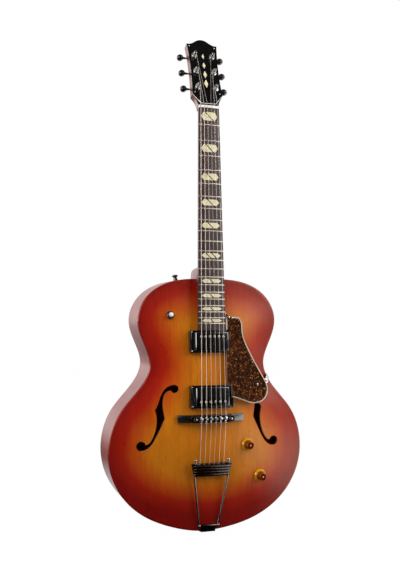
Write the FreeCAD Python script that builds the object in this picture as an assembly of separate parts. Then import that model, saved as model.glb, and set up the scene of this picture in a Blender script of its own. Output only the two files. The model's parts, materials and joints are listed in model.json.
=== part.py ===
"""Archtop guitar: hollow arched body, set neck, floating bridge and hinged tailpiece.

Millimetres. +Z runs up along the neck, +X is the treble side and the front faces -Y.
The origin is on the centreline at the tail end of the rim, halfway through its depth.
"""
import FreeCAD, Part
import math
import os

# Body outline
body_length = 509.0
lower_bout_width = 409.0
lower_bout_height = 160.0
waist_width = 244.0
waist_height = 333.0
upper_bout_width = 294.0
upper_bout_height = 426.0
tail_curve_shares = ((0.365, 0.075), (0.700, 0.280), (0.927, 0.625))
hip_curve_shares = ((0.735, 0.462), (0.240, 0.751))
breast_curve_shares = ((0.690, 0.613),)
shoulder_curve_shares = ((0.854, 0.590), (0.510, 0.930))

# Body shell
rim_depth = 90.0
rib_thickness = 3.0
top_thickness = 4.6
back_thickness = 4.6
top_arch = 18.0
back_arch = 16.0
arch_power = 1.35
arch_length_power = 2.5
arch_margin = 12.0
arch_columns = 23
arch_rows = 27
arch_end_share = 0.09
edge_round = 3.4
lining_width = 6.0
lining_depth = 15.0
neck_block_width = 78.0
neck_block_length = 48.0
tail_block_width = 64.0
tail_block_length = 22.0
tone_bar_width = 8.0
tone_bar_height = 13.0
tone_bar_length = 150.0
tone_bar_spacing = 100.0
tone_bar_low_end = 190.0

# Sound holes, measured up and inward from the lower eye, and mirrored
eye_low_offset = 140.2
eye_low_height = 176.0
eye_low_radius = 9.5
eye_high_radius = 8.1
hole_spread = 66.8
hole_rise = 111.4
hole_outer_shares = ((0.835, 1.052), (0.665, 0.965), (0.570, 0.853), (0.410, 0.630))
hole_outer_low_shares = ((0.458, 0.425), (0.416, 0.266), (0.311, 0.108), (0.230, 0.045), (0.131, 0.024))
hole_inner_low_shares = ((0.131, -0.069), (0.295, 0.005), (0.441, 0.144), (0.588, 0.320), (0.702, 0.470))
hole_inner_shares = ((0.645, 0.722), (0.669, 0.843), (0.735, 0.928), (0.850, 0.963))

# Neck, in its own frame: zero at the nut's front on the fretboard's crown
scale_length = 630.9
neck_angle = 2.77
nut_height = 861.0
nut_lift = 5.3
nut_width = 43.7
nut_thickness = 5.0
nut_overhang = 2.3
fret_count = 21
last_fret_width = 57.0
fretboard_length = 457.0
fretboard_thickness = 6.0
fretboard_radius = 305.0
fret_width = 2.4
fret_crown = 1.1
fret_tang_width = 0.6
fret_tang_depth = 1.9
fret_inset = 0.25
inlay_thickness = 1.2
inlay_slit = 2.1
inlay_slit_angle = -45.0
inlay_height_share = 0.50
inlay_width_share = 0.78
inlay_tip_share = 0.30
inlay_frets = (1, 3, 5, 7, 9, 12, 15, 17, 19, 21)
double_inlay_fret = 12
double_slit_share = 0.30
shaft_depth_nut = 15.0
shaft_depth_heel = 17.5
heel_depths = (10.0, 24.0, 50.0, 78.0, 102.0)
heel_half_widths = (27.0, 26.0, 23.0, 18.5, 14.0)
heel_lengths = (35.0, 36.0, 36.5, 37.0, 37.0)
heel_square_share = 0.5
heel_sink = 9.0
shaft_sink = 10.0
extension_inset = 3.0
rod_width = 6.0
rod_height = 9.0
rod_length = 350.0
rod_start = 14.0

# Headstock, in its own frame: zero at the back of the nut on the wood's face
head_angle = 17.0
head_drop = 3.6
head_thickness = 14.0
head_length = 166.0
head_low_corner = 25.5
head_low_width = 65.5
head_top_corner = 153.5
head_top_width = 66.5
head_waist_share = 0.92
head_cheek_shares = (0.34, 0.52)
head_crown_shares = ((0.62, 0.20), (0.30, 0.78))
headplate_thickness = 2.6
headplate_start = 5.0
headplate_foot_width = 33.0
lozenge_count = 4
lozenge_length = 21.0
lozenge_width = 9.0
lozenge_pitch = 23.0
lozenge_low = 54.0
lozenge_thickness = 1.0
lozenge_shrink_share = 0.12
head_screw_inset = 5.5

# Tuning machines, three a side, in the headstock's frame
post_rows = (43.8, 83.6, 123.4)
post_offset = 19.5
post_radius = 3.0
post_length = 9.5
post_cap = 0.8
post_hole_radius = 0.9
bushing_radius = 4.8
bushing_flange_radius = 6.4
bushing_flange = 1.2
bushing_hex_radius = 5.6
bushing_hex_height = 2.2
post_running_gap = 0.08
housing_width = 15.0
housing_height = 19.0
housing_depth = 8.4
housing_round = 2.0
housing_shift = 3.2
gear_radius = 5.0
gear_thickness = 4.0
gear_gap = 0.4
worm_radius = 1.9
worm_gap = 0.3
worm_length = 8.0
button_shaft_radius = 1.7
button_reach = 44.3
button_radius = 7.2
button_sleeve_radius = 2.2
button_collar_radius = 3.2
button_collar_length = 9.6

# Strings, bass to treble
string_diameters = (1.32, 1.07, 0.81, 0.61, 0.42, 0.32)
nut_string_spread = 36.4
saddle_string_spread = 50.8
tail_string_spread = 50.0
nut_string_lift = 1.7
saddle_string_lift = 4.7
saddle_distance = 633.5
string_gap = 0.3
string_quarter_turns = 10
string_turn_gap = 0.55
string_bend = 2.2
string_slot_gap = 0.1
string_seat_gap = 0.03
saddle_seat_gap = 0.16
ball_radius = 1.6
ball_length = 3.4

# Pickups, in the neck's frame, neck pickup first
pickup_distances = (479.5, 589.5)
pickup_ring_width = 90.0
pickup_ring_height = 44.9
pickup_ring_round = 3.0
pickup_ring_drop = 4.0
pickup_cover_width = 69.5
pickup_cover_height = 38.0
pickup_cover_depth = 17.0
pickup_cover_lift = 0.6
pickup_cover_wall = 0.8
pickup_cover_round = 2.6
pickup_cover_gap = 0.4
pickup_hole_gap = 1.6
coil_height = 13.5
coil_gap = 0.6
pole_radius = 2.4
pole_head = 0.45
pole_hole_gap = 0.05
pole_length = 14.0
pole_offset = 9.8

# Small round-headed screws
screw_shank_radius = 1.0
screw_head_radius = 1.7
screw_head_height = 0.9
ring_screw_inset = 3.3
ring_screw_length = 5.0
guard_screw_head_radius = 2.8
guard_screw_inset = 5.0

# Bridge, square to the rim, stacked from the strings down to the top
bridge_base_length = 138.0
bridge_base_width = 15.0
bridge_base_flat = 94.0
bridge_base_tip = 6.5
bridge_base_round = 1.6
bridge_bar_length = 91.0
bridge_bar_width = 13.0
bridge_bar_depth = 7.0
bridge_bar_round = 4.0
bridge_trough_length = 62.0
bridge_trough_width = 9.4
bridge_trough_depth = 4.4
bridge_post_spacing = 74.0
bridge_post_radius = 2.3
bridge_post_sink = 6.0
bridge_post_proud = 1.2
bridge_post_gap = 0.3
thumbwheel_radius = 8.0
thumbwheel_thickness = 3.0
thumbwheel_rest = 1.3
thumbwheel_gap = 0.3
thumbwheel_notches = 24
thumbwheel_notch_radius = 0.5
saddle_rise = 2.2
saddle_width = 7.2
saddle_length = 6.4
saddle_crest_share = 0.25
saddle_shift_shares = (-0.5, -0.2, 0.1, -0.3, 0.0, 0.4)
saddle_screw_radius = 0.9
saddle_screw_head_radius = 1.7
saddle_screw_head = 1.3
saddle_screw_gap = 0.05

# Tailpiece, in the plane of the strings behind the bridge, zero on the hinge pin
hinge_height = 11.5
hinge_lift = 5.0
hinge_radius = 2.6
hinge_pin_radius = 1.2
hinge_width = 45.0
hinge_knuckle_gap = 0.1
hinge_plate_width = 30.0
hinge_plate_thickness = 1.4
hinge_foot_lift = 1.0
hinge_plate_reach = 14.0
tail_bar_count = 5
tail_bar_top = 128.0
tail_bar_pitch = 5.5
tail_bar_height = 4.4
tail_bar_depth = 5.5
tail_bar_top_width = 84.0
tail_bar_low_width = 72.0
tail_bar_round = 1.2
tail_rod_radius = 2.1
tail_rod_spread = 69.0
tail_rod_knee = 100.0
tail_rod_bend = 40.0
tail_rod_tip = 137.0
tail_rod_gap = 0.05
finial_radius = 2.9
rod_eye_radius = 3.4
rod_eye_width = 5.0

# End pin and shoulder strap button
pin_neck_radius = 3.4
pin_base_radius = 5.2
pin_flange_radius = 6.2
pin_length = 11.8
pin_flange = 3.0
pin_shank_radius = 2.6
pin_shank_length = 16.0
strap_button_offset = 59.5
strap_button_depth = 8.0
strap_shank_length = 12.0

# Controls
volume_place = (80.0, 171.5)
tone_place = (109.5, 106.5)
pot_radius = 12.0
pot_depth = 9.5
pot_clearance = 0.9
pot_bushing_radius = 4.6
pot_hole_gap = 0.3
pot_nut_radius = 6.3
pot_nut_height = 2.2
pot_bushing_proud = 3.4
pot_shaft_radius = 3.0
pot_shaft_length = 13.0
knob_skirt_radius = 13.0
knob_skirt_edge = 1.3
knob_neck_radius = 9.6
knob_neck_height = 5.2
knob_top_radius = 8.4
knob_top_round = 1.0
knob_height = 16.0
knob_lift = 0.8
knob_socket_radius = 7.2
knob_socket_depth = 4.6
knob_shaft_gap = 0.06
knob_boss_radius = 1.7
knob_boss_height = 0.7
switch_place = (-81.5, 434.5)
switch_bushing_radius = 5.8
switch_hole_gap = 0.25
switch_nut_radius = 8.4
switch_nut_height = 3.2
switch_nut_notches = 30
switch_notch_radius = 0.45
switch_body_width = 18.0
switch_body_length = 30.0
switch_body_depth = 22.0
switch_body_gap = 1.5
switch_bushing_proud = 4.4
switch_lever_radius = 1.5
switch_pivot_depth = 6.0
switch_pivot_radius = 2.2
switch_ball_radius = 1.9
switch_pin_radius = 1.0
switch_pin_reach = 4.0
switch_pin_gap = 0.3
switch_cone_radius = 4.7
switch_tip_start = 7.0
switch_tip_radius = 4.9
switch_tip_foot = 3.0
switch_tip_length = 9.5

# Output jack on the treble rim
jack_height = 84.0
jack_plate_radius = 15.0
jack_plate_thickness = 1.6
jack_barrel_radius = 4.7
jack_bore_radius = 3.25
jack_barrel_length = 34.0
jack_nut_radius = 7.0
jack_nut_height = 2.6
jack_hole_gap = 0.3

# Pickguard, in the neck's frame, on the treble side of the strings
guard_thickness = 2.6
guard_drop = 1.1
guard_top = 421.0
guard_length = 182.0
guard_inner = 30.5
guard_width = 88.5
guard_edge_shares = ((0.0, 0.0), (0.12, 0.052), (0.32, 0.062), (0.372, 0.103), (0.395, 0.214),
                     (0.497, 0.371), (0.905, 0.738), (0.992, 0.850), (0.890, 0.974), (0.690, 1.010),
                     (0.400, 0.980), (0.0, 0.93))
guard_corner_count = 2
guard_notch_gap = 0.6
guard_low_notch = 6.0
guard_low_notch_share = 0.78
spacer_radius = 4.0
bracket_height = 309.0
bracket_width = 10.0
bracket_thickness = 1.4
bracket_reach = 44.0
bracket_leg = 30.0
bracket_slope = 15.0
bracket_rim_gap = 1.2
bracket_screw_place = 39.0

# Working values
overrun = 300.0
cut_over = 2.0
outline_samples = 120
normal_step = 0.5

half_rim = rim_depth / 2
half_lower = lower_bout_width / 2
half_waist = waist_width / 2
half_upper = upper_bout_width / 2
half_length = body_length / 2
Vector = FreeCAD.Vector
Placement = FreeCAD.Placement
Rotation = FreeCAD.Rotation
ORIGIN = Vector(0, 0, 0)
X_AXIS = Vector(1, 0, 0)
Y_AXIS = Vector(0, 1, 0)
Z_AXIS = Vector(0, 0, 1)
FRONT = Vector(0, -1, 0)
RIGHT_ANGLE = math.pi / 2

neck_frame = Placement(Vector(0, -half_rim - nut_lift, nut_height), Rotation(X_AXIS, -neck_angle))
head_frame = neck_frame.multiply(Placement(Vector(0, head_drop, nut_thickness),
                                           Rotation(X_AXIS, -head_angle)))
plate_front = -headplate_thickness


def export(name, shape):
    """Write one node."""
    shape.exportStep(os.path.join("parts", name + ".step"))
    print(name, len(shape.Solids), round(shape.Volume, 1), shape.isValid())


def placed(shape, frame):
    """A copy of the shape carried into a frame."""
    copy = shape.copy()
    copy.Placement = frame.multiply(copy.Placement)
    return copy


def box(x0, x1, y0, y1, z0, z1):
    """A box between two corners."""
    return Part.makeBox(x1 - x0, y1 - y0, z1 - z0, Vector(x0, y0, z0))


def spline(points):
    """An open smooth edge through points."""
    curve = Part.BSplineCurve()
    curve.interpolate(points)
    return curve.toShape()


def line(start, end):
    """A straight edge."""
    return Part.LineSegment(start, end).toShape()


def polygon_face(points):
    """A face with straight sides."""
    return Part.Face(Part.makePolygon(points + points[:1]))


def rounded_box(x0, x1, y0, y1, z0, z1, radius, axis):
    """A box whose four edges along one axis are rounded."""
    block = box(x0, x1, y0, y1, z0, z1)
    edges = [edge for edge in block.Edges if abs(edge.tangentAt(edge.FirstParameter).dot(axis)) > 0.5]
    return block.makeFillet(radius, edges)


def revolved(points, frame):
    """A turned solid about the local front axis from (radius, height) points, height towards the front."""
    corners = [Vector(radius, -height, 0) for radius, height in points]
    return placed(polygon_face(corners).revolve(ORIGIN, Y_AXIS, 360), frame)


def front_cylinder(radius, start, end, x=0, z=0):
    """A cylinder along the front axis, from one height towards the front to another."""
    return Part.makeCylinder(radius, end - start, Vector(x, -start, z), FRONT)


def hexagon(radius, start, end, x=0, z=0):
    """A hexagonal prism along the front axis."""
    corners = [Vector(x + radius * math.cos(math.pi * k / 3), -start, z + radius * math.sin(math.pi * k / 3))
               for k in range(6)]
    return polygon_face(corners).extrude(Vector(0, start - end, 0))


def outline_curve():
    """The closed body outline, tail first and counterclockwise seen from the front."""
    side = [(half_lower * w, lower_bout_height * h) for w, h in tail_curve_shares]
    side.append((half_lower, lower_bout_height))
    for w, h in hip_curve_shares:
        side.append((half_waist + (half_lower - half_waist) * w,
                     lower_bout_height + (waist_height - lower_bout_height) * h))
    side.append((half_waist, waist_height))
    for w, h in breast_curve_shares:
        side.append((half_waist + (half_upper - half_waist) * w,
                     waist_height + (upper_bout_height - waist_height) * h))
    side.append((half_upper, upper_bout_height))
    for w, h in shoulder_curve_shares:
        side.append((half_upper * w, upper_bout_height + (body_length - upper_bout_height) * h))
    right = [Vector(x, 0, z) for x, z in side]
    left = [Vector(-x, 0, z) for x, z in reversed(side)]
    curve = Part.BSplineCurve()
    curve.interpolate(Points=[ORIGIN] + right + [Vector(0, 0, body_length)] + left, PeriodicFlag=True)
    return curve


outline = outline_curve()


def outline_stations():
    """Points on the outline with their outward directions."""
    first = outline.FirstParameter
    span = outline.LastParameter - first
    stations = []
    for k in range(outline_samples):
        at = first + span * k / outline_samples
        along = outline.tangent(at)[0]
        stations.append((outline.value(at), Vector(along.z, 0, -along.x)))
    return stations


stations = outline_stations()
right_side = [point for point, outward in stations[:outline_samples // 2 + 1]]


def half_width(z):
    """Half the body's width at a height."""
    for low, high in zip(right_side, right_side[1:]):
        if low.z <= z <= high.z:
            return low.x + (high.x - low.x) * (z - low.z) / (high.z - low.z)
    return right_side[-1].x


def rim_frame(x, z, y=0):
    """A frame on the rim beside a place, its front axis pointing out of the body."""
    at = outline.parameter(Vector(x, 0, z))
    point = outline.value(at)
    along = outline.tangent(at)[0]
    return Placement(Vector(point.x, y, point.z), Rotation(FRONT, Vector(along.z, 0, -along.x)))


def outline_prism(offset, y0, y1):
    """The outline, grown by an offset and run from one depth to another."""
    curve = outline
    if offset:
        curve = Part.BSplineCurve()
        curve.interpolate(Points=[point + outward * offset for point, outward in stations], PeriodicFlag=True)
    face = Part.Face(Part.Wire(curve.toShape()))
    face.translate(Vector(0, y0, 0))
    return face.extrude(Vector(0, y1 - y0, 0))


def arch_rise(x, z, rise):
    """How far an arched plate stands over the rim's edge."""
    along = min(abs(z - half_length) / half_length, 1)
    end = body_length * arch_end_share
    width = half_width(min(max(z, end), body_length - end))
    across = min(abs(x) / width, 1)
    return rise * (1 - along ** arch_length_power) ** arch_power * (1 - across ** 2) ** arch_power


def arch_face(rise, side):
    """The outer face of an arched plate, front for side -1 and back for side 1."""
    rows = []
    for row in range(arch_rows):
        z = -arch_margin + (body_length + 2 * arch_margin) * row / (arch_rows - 1)
        columns = []
        for column in range(arch_columns):
            x = (half_lower + arch_margin) * (2 * column / (arch_columns - 1) - 1)
            columns.append(Vector(x, side * (half_rim + arch_rise(x, z, rise)), z))
        rows.append(columns)
    surface = Part.BSplineSurface()
    surface.interpolate(rows)
    return surface.toShape()


def slab(face, start, depth):
    """A face moved along Y and run to a depth."""
    copy = face.copy()
    copy.translate(Vector(0, start, 0))
    return copy.extrude(Vector(0, depth, 0))


def top_frame(place):
    """A frame on the top's face, its front axis square to the arch."""
    x, z = place
    slope_x = (arch_rise(x + normal_step, z, top_arch)
               - arch_rise(x - normal_step, z, top_arch)) / (2 * normal_step)
    slope_z = (arch_rise(x, z + normal_step, top_arch)
               - arch_rise(x, z - normal_step, top_arch)) / (2 * normal_step)
    point = Vector(x, -half_rim - arch_rise(x, z, top_arch), z)
    return Placement(point, Rotation(FRONT, Vector(-slope_x, -1, -slope_z)))


top_face = arch_face(top_arch, -1)
back_face = arch_face(back_arch, 1)
body_block = outline_prism(0, -overrun, overrun)
under_top = slab(top_face, 0, overrun)
before_back = slab(back_face, 0, -overrun)
hollow = slab(top_face, top_thickness, overrun).common(slab(back_face, -back_thickness, -overrun))
body_solid = body_block.common(under_top)
volume_frame = top_frame(volume_place)
tone_frame = top_frame(tone_place)
switch_frame = top_frame(switch_place)
jack_frame = rim_frame(half_width(jack_height), jack_height)
strap_frame = rim_frame(-strap_button_offset, body_length, -strap_button_depth)
pin_frame = rim_frame(0, 0)


def rounded_plate(face, start, depth):
    """A plate cut to the outline, with its outer edge rounded."""
    plate = slab(face, start, depth).common(body_block)
    outer = half_rim - abs(depth) / 2
    edges = [edge for edge in plate.Edges
             if abs(edge.valueAt((edge.FirstParameter + edge.LastParameter) / 2).y) > outer]
    return plate.makeFillet(min(edge_round, abs(depth) / 2 + abs(depth) / 4), edges)


def sound_hole(side):
    """The prisms of one f-shaped hole: its two eyes and the stem between them."""
    def at(share):
        return Vector(side * (eye_low_offset - hole_spread * share[0]), 0,
                      eye_low_height + hole_rise * share[1])
    low = at((0, 0))
    high = at((1, 1))
    high_top = high + Z_AXIS * eye_high_radius
    low_bottom = low - Z_AXIS * eye_low_radius
    outer = [high_top] + [at(share) for share in hole_outer_shares]
    outer_low = [outer[-1]] + [at(share) for share in hole_outer_low_shares]
    inner_low = [low_bottom] + [at(share) for share in hole_inner_low_shares]
    inner = [inner_low[-1]] + [at(share) for share in hole_inner_shares]
    edges = [spline(outer), spline(outer_low), line(outer_low[-1], low), line(low, low_bottom),
             spline(inner_low), spline(inner), line(inner[-1], high), line(high, high_top)]
    stem = Part.Face(Part.Wire(edges)).extrude(Vector(0, -overrun, 0))
    return [stem, front_cylinder(eye_low_radius, 0, overrun, low.x, low.z),
            front_cylinder(eye_high_radius, 0, overrun, high.x, high.z)]


def pickup_box(distance, width, height, front, back):
    """A box in the neck's frame round a pickup's centre."""
    return placed(box(-width / 2, width / 2, front, back, -distance - height / 2, -distance + height / 2),
                  neck_frame)


def build_body():
    """The shell: plates, ribs, linings, blocks and tone bars."""
    top = rounded_plate(top_face, 0, top_thickness)
    for side in (-1, 1):
        for cutter in sound_hole(side):
            top = top.cut(cutter)
    for distance in pickup_distances:
        top = top.cut(pickup_box(distance, pickup_cover_width + 2 * pickup_hole_gap,
                                 pickup_cover_height + 2 * pickup_hole_gap, -pickup_ring_drop, overrun))
    for frame in (volume_frame, tone_frame):
        top = top.cut(placed(front_cylinder(pot_bushing_radius + pot_hole_gap, -overrun, overrun), frame))
    top = top.cut(placed(front_cylinder(switch_bushing_radius + switch_hole_gap, -overrun, overrun),
                         switch_frame))
    export("top_plate", top)
    export("back_plate", rounded_plate(back_face, 0, -back_thickness))

    inner = outline_prism(-rib_thickness, -overrun, overrun)
    jack_hole = placed(front_cylinder(jack_barrel_radius + jack_hole_gap, -overrun / 2, overrun), jack_frame)
    pin_hole = placed(front_cylinder(pin_shank_radius, -pin_shank_length, overrun), pin_frame)
    strap_hole = placed(front_cylinder(pin_shank_radius, -strap_shank_length, overrun), strap_frame)
    ribs = body_block.cut(inner).common(hollow)
    ribs = ribs.cut(jack_hole).cut(pin_hole).cut(strap_hole)
    for side, word in ((-1, "bass"), (1, "treble")):
        outer = side * overrun
        export(word + "_rib", ribs.common(box(min(0, outer), max(0, outer), -overrun, overrun,
                                              -overrun, body_length + overrun)))

    chamber = inner.common(hollow)
    neck_block = chamber.common(box(-neck_block_width / 2, neck_block_width / 2, -overrun, overrun,
                                    body_length - rib_thickness - neck_block_length, body_length))
    export("neck_block", neck_block.cut(strap_hole))
    tail_block = chamber.common(box(-tail_block_width / 2, tail_block_width / 2, -overrun, overrun,
                                    0, rib_thickness + tail_block_length))
    export("tail_block", tail_block.cut(pin_hole))

    ring = inner.cut(outline_prism(-rib_thickness - lining_width, -overrun, overrun))
    ring = ring.cut(neck_block).cut(tail_block).cut(jack_hole).cut(strap_hole)
    front_lining = ring.common(slab(top_face, top_thickness, lining_depth))
    back_lining = ring.common(slab(back_face, -back_thickness, -lining_depth))
    export("kerfed_linings", Part.makeCompound(front_lining.Solids + back_lining.Solids))

    beams = slab(top_face, top_thickness, tone_bar_height)
    bars = []
    for side in (-1, 1):
        centre = side * tone_bar_spacing / 2
        foot = box(centre - tone_bar_width / 2, centre + tone_bar_width / 2, -overrun, overrun,
                   tone_bar_low_end, tone_bar_low_end + tone_bar_length)
        bars += beams.common(foot).Solids
    export("tone_bars", Part.makeCompound(bars))


def fret_distance(number):
    """Distance from the nut to a fret."""
    return scale_length * (1 - 2 ** (-number / 12))


def board_half(distance):
    """Half the fretboard's width at a distance from the nut."""
    return (nut_width + (last_fret_width - nut_width) * distance / fret_distance(fret_count)) / 2


def board_prism(inset, front, back, start, end):
    """The fretboard's tapering outline, run between two depths and two distances."""
    near = board_half(start) - inset
    far = board_half(end) - inset
    corners = [Vector(-near, front, -start), Vector(near, front, -start),
               Vector(far, front, -end), Vector(-far, front, -end)]
    return polygon_face(corners).extrude(Vector(0, back - front, 0))


def crown_cylinder(lift):
    """The round that the playing surface follows, lifted off it."""
    return Part.makeCylinder(fretboard_radius + lift, 2 * fretboard_length,
                             Vector(0, fretboard_radius, -fretboard_length - nut_thickness), Z_AXIS)


def fret(number):
    """One fret wire: crown and tang, bent to the board's round."""
    z = -fret_distance(number)
    left = Vector(0, 0, z - fret_width / 2)
    right = Vector(0, 0, z + fret_width / 2)
    crown = Part.Arc(left, Vector(0, -fret_crown, z), right).toShape()
    corners = [right, Vector(0, 0, z + fret_tang_width / 2),
               Vector(0, fret_tang_depth, z + fret_tang_width / 2),
               Vector(0, fret_tang_depth, z - fret_tang_width / 2), Vector(0, 0, z - fret_tang_width / 2),
               left]
    edges = [crown] + [line(a, b) for a, b in zip(corners, corners[1:])]
    profile = Part.Face(Part.Wire(edges))
    sweep = 2 * math.degrees(math.asin((last_fret_width / 2 + cut_over) / fretboard_radius))
    centre = Vector(0, fretboard_radius, 0)
    profile.rotate(centre, Z_AXIS, -sweep / 2)
    return profile.revolve(centre, Z_AXIS, sweep)


def fret_inlay(number):
    """The pieces of one position marker: a pointed lozenge cut by slanting slits."""
    start = fret_distance(number - 1)
    end = fret_distance(number)
    middle = -(start + end) / 2
    half = inlay_width_share * board_half(-middle)
    rise = inlay_height_share * (end - start) / 2
    tip = half * (1 - inlay_tip_share)
    corners = [Vector(x, -fret_crown, middle + z) for x, z in
               ((-half, 0), (-tip, rise), (tip, rise), (half, 0), (tip, -rise), (-tip, -rise))]
    prism = polygon_face(corners).extrude(Vector(0, fretboard_thickness, 0))
    piece = prism.common(crown_cylinder(0)).cut(crown_cylinder(-inlay_thickness))
    offsets = (-half * double_slit_share, half * double_slit_share) if number == double_inlay_fret else (0,)
    for offset in offsets:
        slit = box(-inlay_slit / 2, inlay_slit / 2, -overrun, overrun, -overrun, overrun)
        slit.rotate(ORIGIN, Y_AXIS, inlay_slit_angle)
        slit.translate(Vector(offset, 0, middle))
        piece = piece.cut(slit)
    return piece.Solids


def string_x(number, spread):
    """Sideways place of a string."""
    return spread * (number / (len(string_diameters) - 1) - 1 / 2)


def string_point(number, distance):
    """Centre of a string over the fretboard's line, in the neck's frame."""
    share = distance / saddle_distance
    x = string_x(number, nut_string_spread + (saddle_string_spread - nut_string_spread) * share)
    lift = nut_string_lift + (saddle_string_lift - nut_string_lift) * share
    lift -= x ** 2 / (2 * fretboard_radius)
    return Vector(x, -lift - string_diameters[number] / 2, -distance)


def d_section(z, half, front, depth):
    """A rounded section of the neck's shaft, flat towards the fretboard."""
    arc = [Vector(half * math.cos(math.pi * k / 8), front + depth * math.sin(math.pi * k / 8),
                  z) for k in range(9)]
    return Part.Wire([spline(arc), line(arc[-1], arc[0])])


def heel_section(depth, half, length, flat):
    """A section of the heel, flat towards the body."""
    arc = []
    for k in range(13):
        angle = math.pi * k / 12
        across = math.copysign(abs(math.cos(angle)) ** heel_square_share, math.cos(angle))
        arc.append(Vector(half * across, depth, flat + length * math.sin(angle) ** heel_square_share))
    return Part.Wire([spline(arc), line(arc[-1], arc[0])])


def head_outline(start):
    """The headstock's outline from a height above the nut, as a face on its own plane."""
    neck_half = nut_width / 2
    low = Vector(head_low_width / 2, 0, head_low_corner)
    top = Vector(head_top_width / 2, 0, head_top_corner)
    cheek = Vector(neck_half + (low.x - neck_half) * head_cheek_shares[0], 0,
                   head_low_corner * head_cheek_shares[1])
    side = Vector((low.x + top.x) / 2 * head_waist_share, 0, (low.z + top.z) / 2)
    crown = [Vector(top.x * w, 0, top.z + (head_length - top.z) * h) for w, h in head_crown_shares]

    def mirrored(points):
        return [Vector(-point.x, 0, point.z) for point in reversed(points)]
    foot = Vector(neck_half, 0, 0)
    root = Vector(neck_half, 0, -nut_thickness)
    right = [foot, cheek, low]
    crest = [top] + crown + [Vector(0, 0, head_length)]
    crest += mirrored(crest[:-1])
    edges = [line(root, foot), spline(right), spline([low, side, top]), spline(crest)]
    edges += [spline(mirrored([low, side, top])), spline(mirrored(right)),
              line(mirrored([foot])[0], mirrored([root])[0])]
    edges.append(line(mirrored([root])[0], root))
    face = Part.Face(Part.Wire(edges))
    return face.common(polygon_face([Vector(-overrun, 0, start), Vector(overrun, 0, start),
                                     Vector(overrun, 0, overrun), Vector(-overrun, 0, overrun)]))


def plate_outline():
    """The headplate's outline: the headstock's, its lower corners cut back to a narrow foot."""
    right = [Vector(headplate_foot_width / 2, 0, headplate_start),
             Vector(head_low_width / 2, 0, head_low_corner),
             Vector(overrun, 0, head_low_corner), Vector(overrun, 0, overrun)]
    left = [Vector(-point.x, 0, point.z) for point in reversed(right)]
    return head_outline(headplate_start).common(polygon_face(right + left))


def build_neck():
    """The neck with heel and headstock, the fretboard and all that is let into them."""
    join = -neck_frame.inverse().multVec(Vector(0, -half_rim, body_length)).z
    shaft = Part.makeLoft([d_section(nut_thickness, board_half(0), fretboard_thickness, shaft_depth_nut),
                           d_section(-join / 2, board_half(join / 2), fretboard_thickness,
                                     (shaft_depth_nut + shaft_depth_heel) / 2),
                           d_section(-join - shaft_sink, board_half(join), fretboard_thickness,
                                     shaft_depth_heel)],
                          True, False)
    heel = Part.makeLoft([heel_section(depth, half, length, -join - heel_sink) for depth, half, length
                          in zip(heel_depths, heel_half_widths, heel_lengths)], True, False)
    extension = board_prism(extension_inset, fretboard_thickness, half_rim, join, fretboard_length)
    neck = placed(shaft.fuse(heel).fuse(extension), neck_frame).cut(body_solid)
    head = placed(head_outline(-nut_thickness).extrude(Vector(0, head_thickness, 0)), head_frame)
    front_trim = placed(box(-nut_width, nut_width, -overrun, fretboard_thickness, -overrun, nut_thickness),
                        neck_frame)
    neck = neck.fuse(head.cut(front_trim))
    rod = placed(box(-rod_width / 2, rod_width / 2, fretboard_thickness, fretboard_thickness + rod_height,
                     -rod_start - rod_length, -rod_start), neck_frame)
    neck = neck.cut(rod)
    plate = placed(plate_outline().extrude(Vector(0, -headplate_thickness, 0)), head_frame)
    for side in (-1, 1):
        for row in post_rows:
            hole = placed(front_cylinder(bushing_radius, -overrun, overrun, side * post_offset, row),
                          head_frame)
            neck = neck.cut(hole)
            plate = plate.cut(hole)
    lozenges = []
    for k in range(lozenge_count):
        size_share = 1 - lozenge_shrink_share * k
        half_w = lozenge_width / 2 * size_share
        half_l = lozenge_length / 2 * size_share
        z = lozenge_low + lozenge_pitch * k
        corners = [Vector(-half_w, plate_front, z), Vector(0, plate_front, z - half_l),
                   Vector(half_w, plate_front, z), Vector(0, plate_front, z + half_l)]
        lozenges.append(placed(polygon_face(corners).extrude(Vector(0, lozenge_thickness, 0)), head_frame))
    for lozenge in lozenges:
        plate = plate.cut(lozenge)
    for x, z in head_screw_places():
        plate = plate.cut(placed(front_cylinder(screw_shank_radius, 0, headplate_thickness, x, z),
                                 head_frame))
    export("neck", neck.removeSplitter())
    export("truss_rod", rod)
    export("headplate", plate)
    export("headplate_inlay", Part.makeCompound(lozenges))

    board = board_prism(0, 0, fretboard_thickness, 0, fretboard_length).common(crown_cylinder(0))
    trim = board_prism(fret_inset, -2 * fret_crown, fretboard_thickness, 0, fretboard_length)
    frets = [fret(number).common(trim) for number in range(1, fret_count + 1)]
    inlays = []
    for number in inlay_frets:
        inlays += fret_inlay(number)
    for cutter in frets + inlays:
        board = board.cut(cutter)
    export("fretboard", placed(board, neck_frame))
    export("frets", placed(Part.makeCompound(frets), neck_frame))
    export("fret_inlays", placed(Part.makeCompound(inlays), neck_frame))

    nut = box(-nut_width / 2, nut_width / 2, -nut_overhang, fretboard_thickness, 0, nut_thickness)
    nut = nut.common(crown_cylinder(nut_overhang))
    for number, diameter in enumerate(string_diameters):
        centre = string_point(number, 0)
        half = diameter / 2 + string_slot_gap
        nut = nut.cut(box(centre.x - half, centre.x + half, -overrun,
                          centre.y + diameter / 2 + string_seat_gap,
                          -cut_over, nut_thickness + cut_over))
    export("nut", placed(nut, neck_frame))


def head_screw_places():
    """Small screws near the headplate's corners."""
    high = head_top_corner - head_screw_inset
    low = head_low_corner + head_screw_inset
    return [(side * (width / 2 - head_screw_inset), z)
            for width, z in ((head_top_width, high), (head_low_width, low)) for side in (-1, 1)]


bushing_top = headplate_thickness + bushing_flange + bushing_hex_height
wind_start = bushing_top + 2 * string_gap + max(string_diameters) / 2
worm_rise = gear_radius + worm_radius + gear_gap
housing_middle = head_thickness + housing_depth / 2


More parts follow.
